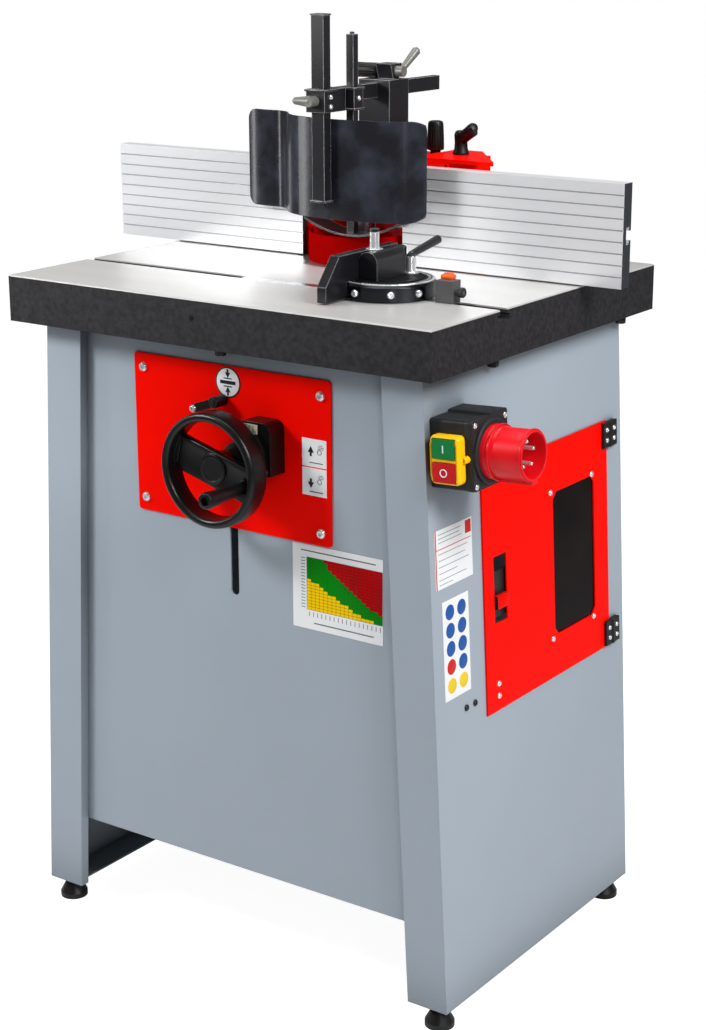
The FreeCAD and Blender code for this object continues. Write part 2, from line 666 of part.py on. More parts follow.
def side_panel():
    """Right side: folded C of sheet with a top lip for the table and a bottom lip for the feet."""
    half = CABINET_HALF_Y
    front = [(0, -half), (0, half), (-FLANGE_WIDTH, half), (-FLANGE_WIDTH, half - FRONT_RECESS),
             (SHEET - FLANGE_WIDTH, half - FRONT_RECESS), (SHEET - FLANGE_WIDTH, half - SHEET),
             (-SHEET, half - SHEET), (-SHEET, SHEET - half), (SHEET - FLANGE_WIDTH, SHEET - half),
             (SHEET - FLANGE_WIDTH, FRONT_RECESS - half), (-FLANGE_WIDTH, FRONT_RECESS - half),
             (-FLANGE_WIDTH, -half)]
    fold = on_side(prism(front, "z", -SIDE_LENGTH - FLANGE_WIDTH, FLANGE_WIDTH))
    wide = CABINET_HALF_X + TABLE_LENGTH
    fold = fold.common(box((0, -half, FOOT_HEIGHT), (wide, half, CABINET_TOP)))
    inside = CABINET_HALF_Y - FRONT_RECESS - SHEET
    top_x = inner_half(CABINET_TOP)
    foot_x = inner_half(FOOT_HEIGHT)
    top_lip = box((top_x - TOP_LIP, -inside, CABINET_TOP - SHEET), (top_x + SHEET / 2, inside, CABINET_TOP))
    foot_lip = box((foot_x - FOOT_LIP, -half + SHEET, FOOT_HEIGHT),
                   (foot_x + SHEET / 2, half - SHEET, FOOT_HEIGHT + SHEET))
    studs = [rod(STUD_RADIUS, (x, y, FOOT_HEIGHT - OVERRUN), (x, y, FOOT_HEIGHT + OVERRUN + SHEET))
             for x, y in foot_places() if x > 0]
    return without(joined(fold, top_lip, foot_lip), *studs)


def foot_places():
    """Centres of the four feet."""
    x = inner_half(FOOT_HEIGHT) - FOOT_INSET
    y = CABINET_HALF_Y - FOOT_INSET
    return [(side * x, end * y) for side in (-1, 1) for end in (-1, 1)]


def right_side_panel():
    """Right side with the belt-door opening and the keeper that the latch slides behind."""
    low_z = -DOOR_DROP - DOOR_HEIGHT + DOOR_LAP
    opening = box((-SHEET - OVERRUN, DOOR_FRONT + DOOR_LAP, low_z),
                  (OVERRUN, DOOR_REAR - DOOR_LAP, -DOOR_DROP - DOOR_LAP))
    keeper_z = latch_top() + LATCH_PLATE_MARGIN
    keeper = box((-SHEET, DOOR_FRONT + DOOR_LAP, keeper_z),
                 (0, DOOR_FRONT + LATCH_SLOT_FROM_DOOR_FRONT, keeper_z + KEEPER_HEIGHT))
    return side_panel().cut(on_side(opening.cut(keeper)))


def latch_top():
    """Upper end of the latch plate on the flat drawing of the side."""
    return LATCH_Z - LATCH_TAB_LIFT + LATCH_PLATE_MARGIN + LATCH_SLOT_HEIGHT - LATCH_TRAVEL


def cross_panel(face, back, gap_below, fold_to):
    """Flat sheet between the sides, wider at the bottom, with a stiffening fold along its lower edge."""
    low_z = FOOT_HEIGHT + gap_below
    low, high = inner_half(low_z), inner_half(CABINET_TOP)
    sheet = prism([(-low, low_z), (low, low_z), (high, CABINET_TOP), (-high, CABINET_TOP)], "y", face, back)
    fold_low, fold_high = sorted((back, fold_to))
    fold = box((-high, fold_low, low_z), (high, fold_high, low_z + SHEET))
    return joined(sheet, fold)


def front_panel():
    """Recessed front sheet with the round shaft opening, the lock hole and the long slot."""
    sheet = cross_panel(FRONT_FACE, FRONT_FACE + SHEET, FRONT_GAP_BELOW, FRONT_FACE + PANEL_FOLD)
    plate_bottom = CABINET_TOP - PLATE_DROP - PLATE_HEIGHT
    half = PANEL_SLOT_WIDTH / 2
    low_z = plate_bottom - PANEL_SLOT_BELOW_PLATE + half
    front, back = FRONT_FACE - OVERRUN, FRONT_FACE + SHEET + OVERRUN
    slot = joined(box((PANEL_SLOT_X - half, front, low_z),
                      (PANEL_SLOT_X + half, back, plate_bottom + half)),
                  rod(half, (PANEL_SLOT_X, front, low_z), (PANEL_SLOT_X, back, low_z)))
    shaft = rod(PANEL_OPENING_RADIUS, (WHEEL_X, front, WHEEL_Z), (WHEEL_X, back, WHEEL_Z))
    lock_x, lock_z = WHEEL_X + LOCK_OFFSET_X, WHEEL_Z + LOCK_OFFSET_Z
    lock = rod(LOCK_PIN_RADIUS + RUN_GAP, (lock_x, front, lock_z), (lock_x, back, lock_z))
    return without(sheet, slot, shaft, lock)


def rear_panel():
    """Plain recessed rear sheet."""
    return cross_panel(-FRONT_FACE, -FRONT_FACE - SHEET, REAR_GAP_BELOW, -FRONT_FACE - PANEL_FOLD)


def levelling_feet():
    """Four rubber pads with a bell shape."""
    profile = [(0, 0), (FOOT_RADIUS, 0), (FOOT_RADIUS, FOOT_SKIRT), (FOOT_DOME_RADIUS, FOOT_PAD_HEIGHT),
               (STUD_RADIUS, FOOT_PAD_HEIGHT), (STUD_RADIUS, FOOT_SKIRT), (0, FOOT_SKIRT)]
    return group(*[turned(profile, (x, y, 0)) for x, y in foot_places()])


def foot_studs():
    """Four threaded studs in the pads, each with a nut above and below the bottom lip."""
    studs = []
    for x, y in foot_places():
        stud = rod(STUD_RADIUS, (x, y, FOOT_SKIRT), (x, y, FOOT_SKIRT + STUD_LENGTH))
        lower = hexagon(NUT_WIDTH, (x, y, FOOT_HEIGHT - NUT_HEIGHT), NUT_HEIGHT, STUD_RADIUS)
        upper = hexagon(NUT_WIDTH, (x, y, FOOT_HEIGHT + SHEET), NUT_HEIGHT, STUD_RADIUS)
        studs.append(joined(stud, lower, upper))
    return group(*studs)


# Handwheel, its plate and the height lock

def handwheel_plate():
    """Painted cover plate on the front panel."""
    top = CABINET_TOP - PLATE_DROP
    plate = box((-PLATE_WIDTH / 2, PLATE_FACE, top - PLATE_HEIGHT), (PLATE_WIDTH / 2, FRONT_FACE, top))
    plate = rounded(plate, Y_AXIS, PLATE_CORNER)
    shaft = rod(BUSH_RADIUS, (WHEEL_X, PLATE_FACE - OVERRUN, WHEEL_Z),
                (WHEEL_X, FRONT_FACE + OVERRUN, WHEEL_Z))
    lock_x, lock_z = WHEEL_X + LOCK_OFFSET_X, WHEEL_Z + LOCK_OFFSET_Z
    lock = rod(LOCK_PIN_RADIUS + RUN_GAP, (lock_x, PLATE_FACE - OVERRUN, lock_z),
               (lock_x, FRONT_FACE + OVERRUN, lock_z))
    return without(plate, shaft, lock)


def shaft_bush():
    """Flanged bearing bush of the handwheel shaft, held by the plate."""
    bush = turned([(SHAFT_RADIUS + RUN_GAP, -BUSH_LENGTH), (BUSH_RADIUS, -BUSH_LENGTH), (BUSH_RADIUS, 0),
                   (BUSH_FLANGE_RADIUS, 0), (BUSH_FLANGE_RADIUS, PLATE_SHEET),
                   (BUSH_RADIUS, PLATE_SHEET + PLATE_SHEET),
                   (SHAFT_RADIUS + RUN_GAP, PLATE_SHEET + PLATE_SHEET)],
                  (WHEEL_X, PLATE_FACE, WHEEL_Z), -Y_AXIS)
    return bush


def height_readout():
    """Housing of the height readout beside the wheel, with rounded top corners."""
    low_x = WHEEL_X + READOUT_OFFSET_X
    low_z = WHEEL_Z + READOUT_OFFSET_Z
    body = box((low_x, PLATE_FACE - READOUT_DEPTH, low_z),
               (low_x + READOUT_WIDTH, PLATE_FACE, low_z + READOUT_HEIGHT))
    top = [edge for edge in body.Edges if edge.BoundBox.ZMin > low_z + READOUT_HEIGHT / 2
           and edge.BoundBox.YLength > READOUT_DEPTH / 2]
    body = body.makeFillet(READOUT_ROUND, top)
    return body.cut(rod(BUSH_FLANGE_RADIUS + SLIDE_GAP, (WHEEL_X, WHEEL_FRONT, WHEEL_Z),
                        (WHEEL_X, FRONT_FACE, WHEEL_Z)))


def handwheel():
    """Deep-rimmed wheel with a wide two-arm web set back from the front of the rim."""
    outer, inner = WHEEL_RADIUS, WHEEL_RADIUS - WHEEL_RIM
    soft = WHEEL_RIM_ROUND
    rim = turned([(inner, soft), (inner + soft, 0), (outer - soft, 0), (outer, soft),
                  (outer, WHEEL_RIM_DEPTH - soft), (outer - soft, WHEEL_RIM_DEPTH),
                  (inner + soft, WHEEL_RIM_DEPTH), (inner, WHEEL_RIM_DEPTH - soft)],
                 (WHEEL_X, WHEEL_FRONT, WHEEL_Z), Y_AXIS)
    web_front = WHEEL_FRONT + WHEEL_WEB_RECESS
    web = box((WHEEL_X - inner - soft, web_front, WHEEL_Z - WHEEL_WEB_WIDTH / 2),
              (WHEEL_X + inner + soft, web_front + WHEEL_WEB_DEPTH, WHEEL_Z + WHEEL_WEB_WIDTH / 2))
    web.rotate(V(WHEEL_X, web_front, WHEEL_Z), Y_AXIS, -WHEEL_WEB_TILT_DEG)
    disc = rod(inner + soft, (WHEEL_X, web_front, WHEEL_Z), (WHEEL_X, web_front + WHEEL_WEB_DEPTH, WHEEL_Z))
    hub = rod(WHEEL_HUB_RADIUS, (WHEEL_X, web_front - PLATE_SHEET, WHEEL_Z),
              (WHEEL_X, web_front + WHEEL_HUB_LENGTH, WHEEL_Z))
    bore = rod(SHAFT_RADIUS, (WHEEL_X, web_front, WHEEL_Z),
               (WHEEL_X, WHEEL_BACK + WHEEL_HUB_LENGTH, WHEEL_Z))
    pin_x, pin_z = crank_place()
    pin = rod(CRANK_PIN_RADIUS, (pin_x, web_front - CRANK_PIN_LENGTH, pin_z), (pin_x, web_front, pin_z))
    return joined(rim, web.common(disc), hub, pin).cut(bore)


def crank_place():
    """Centre of the crank handle, seen from the front."""
    tilt = radians(WHEEL_WEB_TILT_DEG)
    return WHEEL_X + CRANK_RADIUS * cos(tilt), WHEEL_Z + CRANK_RADIUS * sin(tilt)


def crank_handle():
    """Waisted grip that turns on the wheel's pin, with a socket in its end."""
    pin_x, pin_z = crank_place()
    bore = CRANK_PIN_RADIUS + RUN_GAP
    seat = SLIDE_GAP
    length = CRANK_LENGTH
    profile = [(bore, seat), (CRANK_BASE_RADIUS, seat), (CRANK_BASE_RADIUS, CRANK_BASE_RADIUS),
               (CRANK_WAIST_RADIUS, CRANK_BASE_RADIUS + CRANK_WAIST_RADIUS),
               (CRANK_TIP_RADIUS, length - CRANK_TIP_RADIUS),
               (CRANK_TIP_RADIUS, length - CRANK_PIN_RADIUS / 2), (CRANK_WAIST_RADIUS, length),
               (CRANK_PIN_RADIUS, length), (CRANK_PIN_RADIUS, length - CRANK_SOCKET_DEPTH),
               (0, length - CRANK_SOCKET_DEPTH), (0, CRANK_PIN_LENGTH + SLIDE_GAP),
               (bore, CRANK_PIN_LENGTH + SLIDE_GAP)]
    return turned(profile, (pin_x, WHEEL_FRONT + WHEEL_WEB_RECESS, pin_z), -Y_AXIS)


def height_lock_lever():
    """Clamp lever above the wheel: round boss on a pin through the plate, flat arm with a screw end."""
    x, z = WHEEL_X + LOCK_OFFSET_X, WHEEL_Z + LOCK_OFFSET_Z
    seat = PLATE_FACE - SLIDE_GAP
    front = seat - LOCK_BOSS_LENGTH
    boss = rod(LOCK_BOSS_RADIUS, (x, front, z), (x, seat, z))
    pin = rod(LOCK_PIN_RADIUS, (x, seat, z), (x, FRONT_FACE + SHEET, z))
    tip_x = x - LOCK_ARM_LENGTH
    arm = box((tip_x, front, z - LOCK_ARM_HALF), (x, front + LOCK_ARM_DEPTH, z + LOCK_ARM_HALF))
    end = rod(LOCK_ARM_HALF, (tip_x, front, z), (tip_x, front + LOCK_ARM_DEPTH, z))
    arm = joined(arm, end)
    arm.rotate(V(x, front, z), Y_AXIS, -LOCK_ARM_TILT_DEG)
    return joined(boss, pin, arm)


# Lift

def mitre_gear(first_tooth_deg):
    """Straight mitre gear, apex at the origin, back towards -Z, teeth on a 45 degree cone."""
    big, small = GEAR_PITCH_RADIUS, GEAR_PITCH_RADIUS - GEAR_FACE
    root_share = 1 - GEAR_DEDENDUM / big
    tip_share = 1 + GEAR_ADDENDUM / big
    cone = turned([(0, -big - GEAR_BACK), (big * root_share, -big - GEAR_BACK), (big * root_share, -big),
                   (small * root_share, -small), (0, -small)], (0, 0, 0))
    pitch = 2 * pi / GEAR_TEETH
    foot, tip = pitch * GEAR_TOOTH_FOOT_SHARE / 2, pitch * GEAR_TOOTH_TIP_SHARE / 2
    inner_share = 1 - 2 * GEAR_DEDENDUM / big
    corners = [(inner_share, -foot), (root_share, -foot), (tip_share, -tip), (tip_share, tip),
               (root_share, foot), (inner_share, foot)]
    teeth = []
    for n in range(GEAR_TEETH):
        start = radians(first_tooth_deg) + n * pitch
        ends = []
        for size in (big, small):
            points = [V(size * share * cos(start + turn), size * share * sin(start + turn), -size)
                      for share, turn in corners]
            ends.append(Part.makePolygon(points + points[:1]))
        teeth.append(Part.makeLoft(ends, True, True))
    return joined(cone, *teeth)


def drive_shaft():
    """Handwheel shaft with its mitre gear."""
    gear = mitre_gear(0)
    gear.Placement = FreeCAD.Placement(V(WHEEL_X, SCREW_Y, WHEEL_Z), FreeCAD.Rotation(Z_AXIS, Y_AXIS))
    back = SCREW_Y - GEAR_PITCH_RADIUS
    shaft = rod(SHAFT_RADIUS, (WHEEL_X, WHEEL_FRONT + WHEEL_WEB_RECESS, WHEEL_Z), (WHEEL_X, back, WHEEL_Z))
    return joined(shaft, gear)


def lift_screw():
    """Upright lift screw with its mitre gear at the foot and plain journals at both ends."""
    gear = mitre_gear(180 / GEAR_TEETH)
    gear.translate(V(WHEEL_X, SCREW_Y, WHEEL_Z))
    foot = WHEEL_Z - BRACKET_SHELF_DROP
    low = WHEEL_Z - GEAR_PITCH_RADIUS
    screw = rod(SCREW_RADIUS, (WHEEL_X, SCREW_Y, low), (WHEEL_X, SCREW_Y, TABLE_BOTTOM))
    journal = rod(SCREW_JOURNAL_RADIUS, (WHEEL_X, SCREW_Y, foot - BRACKET_WALL), (WHEEL_X, SCREW_Y, low))
    return joined(journal, screw, gear)


def lift_bracket():
    """Bracket under the table that carries the inner end of the shaft and both ends of the screw."""
    shelf = WHEEL_Z - BRACKET_SHELF_DROP
    front = SCREW_Y - BRACKET_AHEAD
    outline = [(front, TABLE_BOTTOM), (SCREW_Y + BRACKET_BEHIND, TABLE_BOTTOM),
               (SCREW_Y + BRACKET_BEHIND, TABLE_BOTTOM - BRACKET_WALL),
               (front + BRACKET_WALL, TABLE_BOTTOM - BRACKET_WALL),
               (front + BRACKET_WALL, shelf), (SCREW_Y + BRACKET_BEHIND, shelf),
               (SCREW_Y + BRACKET_BEHIND, shelf - BRACKET_WALL), (front, shelf - BRACKET_WALL)]
    body = prism(outline, "x", WHEEL_X - BRACKET_HALF_WIDTH, WHEEL_X + BRACKET_HALF_WIDTH)
    shaft = rod(SHAFT_RADIUS + RUN_GAP, (WHEEL_X, front - OVERRUN, WHEEL_Z),
                (WHEEL_X, front + BRACKET_WALL + OVERRUN, WHEEL_Z))
    low = rod(SCREW_JOURNAL_RADIUS + RUN_GAP, (WHEEL_X, SCREW_Y, shelf - BRACKET_WALL - OVERRUN),
              (WHEEL_X, SCREW_Y, shelf + OVERRUN))
    high = rod(SCREW_RADIUS + RUN_GAP, (WHEEL_X, SCREW_Y, TABLE_BOTTOM - BRACKET_WALL - OVERRUN),
               (WHEEL_X, SCREW_Y, TABLE_BOTTOM + OVERRUN))
    return without(body, shaft, low, high)


def dovetail(grow, low_z, high_z):
    """Dovetail bar in front of the guide face, wider towards the spindle."""
    neck, head = DOVETAIL_NECK_HALF + grow, DOVETAIL_HEAD_HALF + grow
    front = GUIDE_Y - DOVETAIL_DEPTH - grow
    back = GUIDE_Y + SLIDE_GAP
    return prism([(SPINDLE_X - head, front), (SPINDLE_X + head, front), (SPINDLE_X + neck, back),
                  (SPINDLE_X - neck, back)], "z", low_z, high_z)


def guide_column():
    """Cast column bolted under the table, with the dovetail that guides the spindle carriage."""
    face = GUIDE_Y + SLIDE_GAP
    back = GUIDE_Y + COLUMN_SLAB
    low = TABLE_BOTTOM - COLUMN_DROP
    slab = box((SPINDLE_X - COLUMN_HALF_WIDTH, face, low),
               (SPINDLE_X + COLUMN_HALF_WIDTH, back, TABLE_BOTTOM))
    flange = box((SPINDLE_X - COLUMN_HALF_WIDTH, back, TABLE_BOTTOM - COLUMN_FLANGE),
                 (SPINDLE_X + COLUMN_HALF_WIDTH, back + COLUMN_FLANGE_REACH, TABLE_BOTTOM))
    gusset = prism([(back, TABLE_BOTTOM - COLUMN_FLANGE),
                    (back + COLUMN_FLANGE_REACH, TABLE_BOTTOM - COLUMN_FLANGE),
                    (back, TABLE_BOTTOM - COLUMN_HALF_WIDTH)], "x", SPINDLE_X - COLUMN_FLANGE / 2,
                   SPINDLE_X + COLUMN_FLANGE / 2)
    return joined(slab, flange, gusset, dovetail(0, low, TABLE_BOTTOM))


# Spindle unit

def spindle_carriage():
    """Cast spindle housing with dovetail slide, nut lug for the lift screw and motor plate."""
    bottom, top = HOUSING_BOTTOM, HOUSING_TOP
    tube = rod(HOUSING_RADIUS, (SPINDLE_X, SPINDLE_Y, bottom), (SPINDLE_X, SPINDLE_Y, top))
    slab_low = bottom + CARRIAGE_SLAB_LIFT
    slab_high = slab_low + CARRIAGE_SLAB_HEIGHT
    slab = box((SPINDLE_X - CARRIAGE_SLAB_HALF, SPINDLE_Y + CARRIAGE_SLAB_FRONT, slab_low),
               (SPINDLE_X + CARRIAGE_SLAB_HALF, GUIDE_Y, slab_high))
    web = box((SPINDLE_X - HOUSING_RADIUS, SPINDLE_Y, slab_low),
              (SPINDLE_X + HOUSING_RADIUS, GUIDE_Y - DOVETAIL_DEPTH,
                                                                  slab_high))
    lug_low = WHEEL_Z + NUT_LUG_ABOVE_SHAFT
    lug = box((WHEEL_X - NUT_LUG_HALF, SCREW_Y - NUT_LUG_AHEAD, lug_low),
              (WHEEL_X + NUT_LUG_HALF, SPINDLE_Y, lug_low + NUT_LUG_HEIGHT))
    plate = prism([(SPINDLE_X - HOUSING_RADIUS, SPINDLE_Y - HOUSING_RADIUS),
                   (SPINDLE_X, SPINDLE_Y - HOUSING_RADIUS),
                   (MOTOR_X, SPINDLE_Y - MOTOR_RADIUS), (MOTOR_X + MOTOR_RADIUS, SPINDLE_Y - MOTOR_RADIUS),
                   (MOTOR_X + MOTOR_RADIUS, SPINDLE_Y + MOTOR_RADIUS), (MOTOR_X, SPINDLE_Y + MOTOR_RADIUS),
                   (SPINDLE_X, SPINDLE_Y + HOUSING_RADIUS),
                   (SPINDLE_X - HOUSING_RADIUS, SPINDLE_Y + HOUSING_RADIUS)],
                  "z", bottom - MOTOR_PLATE, bottom)
    bore = rod(BEARING_RADIUS, (SPINDLE_X, SPINDLE_Y, bottom + BEARING_INSET),
               (SPINDLE_X, SPINDLE_Y, top + OVERRUN))
    eye = rod(BEARING_RADIUS - BEARING_INSET, (SPINDLE_X, SPINDLE_Y, bottom - MOTOR_PLATE - OVERRUN),
              (SPINDLE_X, SPINDLE_Y, top))
    nut = rod(SCREW_RADIUS + RUN_GAP, (WHEEL_X, SCREW_Y, lug_low - OVERRUN),
              (WHEEL_X, SCREW_Y, lug_low + NUT_LUG_HEIGHT + OVERRUN))
    shaft = rod(MOTOR_SHAFT_RADIUS + RUN_GAP, (MOTOR_X, SPINDLE_Y, bottom - MOTOR_PLATE - OVERRUN),
                (MOTOR_X, SPINDLE_Y, bottom + OVERRUN))
    slide = dovetail(SLIDE_GAP, bottom - MOTOR_PLATE - OVERRUN, top)
    return without(joined(tube, web, slab, lug, plate), bore, eye, nut, shaft, slide)


def spindle_bearings():
    """Two ball bearings, drawn as rings, pressed into the housing."""
    races = []
    for low in (HOUSING_BOTTOM + BEARING_INSET, HOUSING_TOP - BEARING_INSET - BEARING_WIDTH):
        races.append(ring(BEARING_RADIUS, BEARING_BORE + RUN_GAP, (SPINDLE_X, SPINDLE_Y, low),
                          (SPINDLE_X, SPINDLE_Y, low + BEARING_WIDTH)))
    return group(*races)


def spindle_shaft():
    """Turned spindle: pulley seat, bearing journals, collar and the bare arbor with its thread."""
    seat_top = PULLEY_TOP + PULLEY_FLANGE
    profile = [(0, PULLEY_BOTTOM), (PULLEY_SEAT_RADIUS, PULLEY_BOTTOM), (PULLEY_SEAT_RADIUS, seat_top),
               (BEARING_BORE, seat_top), (BEARING_BORE, HOUSING_TOP), (COLLAR_RADIUS, HOUSING_TOP),
               (COLLAR_RADIUS, SHOULDER_Z), (ARBOR_RADIUS, SHOULDER_Z),
               (ARBOR_RADIUS, SHOULDER_Z + ARBOR_LENGTH),
               (ARBOR_THREAD_RADIUS, SHOULDER_Z + ARBOR_LENGTH), (ARBOR_THREAD_RADIUS, ARBOR_TOP),
               (0, ARBOR_TOP)]
    return turned(profile, (SPINDLE_X, SPINDLE_Y, 0))


def spacer_rings():
    """Loose steel spacers stacked on the arbor."""
    rings = []
    low = SHOULDER_Z
    for height in SPACER_HEIGHTS:
        rings.append(ring(SPACER_RADIUS, ARBOR_RADIUS, (SPINDLE_X, SPINDLE_Y, low),
                          (SPINDLE_X, SPINDLE_Y, low + height - RUN_GAP)))
        low += height
    return group(*rings)


def arbor_nut():
    """Nut on the arbor's thread."""
    return hexagon(ARBOR_NUT_WIDTH, (SPINDLE_X, SPINDLE_Y, SHOULDER_Z + ARBOR_LENGTH), ARBOR_NUT_HEIGHT,
                   ARBOR_THREAD_RADIUS)


def pulley(radii, x, bore, top):
    """Two-step belt pulley hanging below top, with a lip each side of both steps."""
    upper, lower = radii
    upper_low = top - PULLEY_FLANGE - PULLEY_STEP
    lower_low = upper_low - PULLEY_FLANGE - PULLEY_STEP
    middle = max(upper, lower) + PULLEY_LIP
    profile = [(bore, top), (upper + PULLEY_LIP, top), (upper + PULLEY_LIP, top - PULLEY_FLANGE),
               (upper, top - PULLEY_FLANGE), (upper, upper_low), (middle, upper_low),
               (middle, upper_low - PULLEY_FLANGE), (lower, upper_low - PULLEY_FLANGE), (lower, lower_low),
               (lower + PULLEY_LIP, lower_low), (lower + PULLEY_LIP, lower_low - PULLEY_FLANGE),
               (bore, lower_low - PULLEY_FLANGE)]
    return turned(profile, (x, SPINDLE_Y, 0))


def spindle_pulley():
    """Belt pulley on the spindle's lower end."""
    return pulley(SPINDLE_STEP_RADII, SPINDLE_X, PULLEY_SEAT_RADIUS, PULLEY_TOP)


def motor_pulley():
    """Motor pulley with the motor shaft that it is keyed to."""
    wheel = pulley(MOTOR_STEP_RADII, MOTOR_X, MOTOR_SHAFT_RADIUS, PULLEY_TOP)
    shaft = rod(MOTOR_SHAFT_RADIUS, (MOTOR_X, SPINDLE_Y, PULLEY_BOTTOM),
                (MOTOR_X, SPINDLE_Y, HOUSING_BOTTOM + MOTOR_SHAFT_GRIP))
    return joined(wheel, shaft)


def motor_body():
    """Finned motor standing on the carriage's plate, with fan cowl and terminal box."""
    low = HOUSING_BOTTOM
    top = low + MOTOR_LENGTH
    barrel = rod(MOTOR_RADIUS - MOTOR_FIN, (MOTOR_X, SPINDLE_Y, low), (MOTOR_X, SPINDLE_Y, top))
    cowl = rod(MOTOR_RADIUS, (MOTOR_X, SPINDLE_Y, top - MOTOR_COWL), (MOTOR_X, SPINDLE_Y, top))
    foot = rod(MOTOR_RADIUS, (MOTOR_X, SPINDLE_Y, low), (MOTOR_X, SPINDLE_Y, low + MOTOR_PLATE))
    fins = []
    for n in range(MOTOR_FINS):
        fin = box((MOTOR_X, SPINDLE_Y - MOTOR_FIN_WIDTH / 2, low),
                  (MOTOR_X + MOTOR_RADIUS - RUN_GAP, SPINDLE_Y + MOTOR_FIN_WIDTH / 2, top - MOTOR_COWL))
        fin.rotate(V(MOTOR_X, SPINDLE_Y, low), Z_AXIS, n * 360 / MOTOR_FINS)
        fins.append(fin)
    terminal = box((MOTOR_X - TERMINAL_BOX, SPINDLE_Y - MOTOR_RADIUS - TERMINAL_BOX / 2, low + MOTOR_COWL),
                   (MOTOR_X + TERMINAL_BOX, SPINDLE_Y - MOTOR_RADIUS + MOTOR_FIN * 2,
                    low + MOTOR_COWL + TERMINAL_BOX * 2))
    hole = rod(MOTOR_SHAFT_RADIUS + RUN_GAP, (MOTOR_X, SPINDLE_Y, low - OVERRUN),
               (MOTOR_X, SPINDLE_Y, low + MOTOR_SHAFT_GRIP + OVERRUN))
    return joined(barrel, cowl, foot, terminal, *fins).cut(hole)


def belt_outline(grow):
    """Closed line around the upper steps of both pulleys, a given distance off their rims."""
    small, large = SPINDLE_STEP_RADII[0] + grow, MOTOR_STEP_RADII[0] + grow
    turn = acos((small - large) / MOTOR_OFFSET)
    z = PULLEY_TOP - PULLEY_FLANGE - (PULLEY_STEP + BELT_WIDTH) / 2

    def rim(x, radius, angle):
        return V(x + radius * cos(angle), SPINDLE_Y + radius * sin(angle), z)

    first, last = rim(SPINDLE_X, small, turn), rim(SPINDLE_X, small, -turn)
    far_first, far_last = rim(MOTOR_X, large, turn), rim(MOTOR_X, large, -turn)
    edges = [Part.Arc(first, rim(SPINDLE_X, small, pi), last).toShape(),
             Part.LineSegment(last, far_last).toShape(),
             Part.Arc(far_last, rim(MOTOR_X, large, 0), far_first).toShape(),
             Part.LineSegment(far_first, first).toShape()]
    return Part.Face(Part.Wire(edges))


def drive_belt():
    """Flat ribbed belt over the upper steps."""
    outline = belt_outline(SLIDE_GAP + BELT_THICKNESS).cut(belt_outline(SLIDE_GAP))
    return outline.extrude(Z_AXIS * BELT_WIDTH)


# Belt door, drawn flat on the side panel

def window_outline(grow):
    """Door window with cut corners, as (y, z) pairs."""
    front = WINDOW_FRONT - grow
    rear = front + WINDOW_WIDTH + 2 * grow
    top = WINDOW_TOP + grow
    low = top - WINDOW_HEIGHT - 2 * grow
    cut = WINDOW_CHAMFER
    return [(front + cut, low), (rear - cut, low), (rear, low + cut), (rear, top - cut), (rear - cut, top),
            (front + cut, top), (front, top - cut), (front, low + cut)]


def door_panel():
    """Sheet door that laps over its opening, with the window and the latch slot cut out."""
    inner, outer = SLIDE_GAP, SLIDE_GAP + DOOR_SHEET
    sheet = box((inner, DOOR_FRONT, -DOOR_DROP - DOOR_HEIGHT), (outer, DOOR_REAR, -DOOR_DROP))
    window = prism(window_outline(0), "x", -OVERRUN, outer + OVERRUN)
    slot_front = DOOR_FRONT + LATCH_SLOT_FROM_DOOR_FRONT
    slot = box((-OVERRUN, slot_front, LATCH_SLOT_TOP - LATCH_SLOT_HEIGHT),
               (outer + OVERRUN, slot_front + LATCH_SLOT_WIDTH, LATCH_SLOT_TOP))
    return on_side(without(sheet, window, slot))


def door_window():
    """Dark clear pane behind the door's window."""
    front = WINDOW_FRONT - PANE_MARGIN
    top = WINDOW_TOP + PANE_MARGIN
    return on_side(box((SLIDE_GAP - PANE_THICKNESS, front, top - WINDOW_HEIGHT - 2 * PANE_MARGIN),
                       (SLIDE_GAP, front + WINDOW_WIDTH + 2 * PANE_MARGIN, top)))


def door_latch():
    """Sliding latch behind the slot: flat plate, finger tab and the hook that goes behind the keeper."""
    front = DOOR_FRONT + LATCH_SLOT_FROM_DOOR_FRONT
    face = -SHEET - SLIDE_GAP
    low = LATCH_Z - LATCH_TAB_LIFT + LATCH_PLATE_MARGIN
    plate = box((face - LATCH_PLATE, front, low),
                (face, front + LATCH_SLOT_WIDTH + LATCH_PLATE_MARGIN, latch_top()))
    tab = box((face - LATCH_PLATE, front + SLIDE_GAP + LATCH_PLATE, LATCH_Z),
              (SLIDE_GAP + DOOR_SHEET + LATCH_TAB_PROUD, front + LATCH_SLOT_WIDTH - SLIDE_GAP,
               LATCH_Z + LATCH_TAB_HEIGHT))
    hook_top = latch_top()
    hook = box((face - LATCH_PLATE, front - DOOR_LAP + LATCH_PLATE, hook_top - KEEPER_HEIGHT),
               (face, front, hook_top))
    return on_side(joined(plate, tab, hook))


def hinge_heights():
    """Lower edges of the two hinges on the flat drawing."""
    top = -DOOR_DROP - HINGE_INSET - HINGE_HEIGHT
    return top, -DOOR_DROP - DOOR_HEIGHT + HINGE_INSET


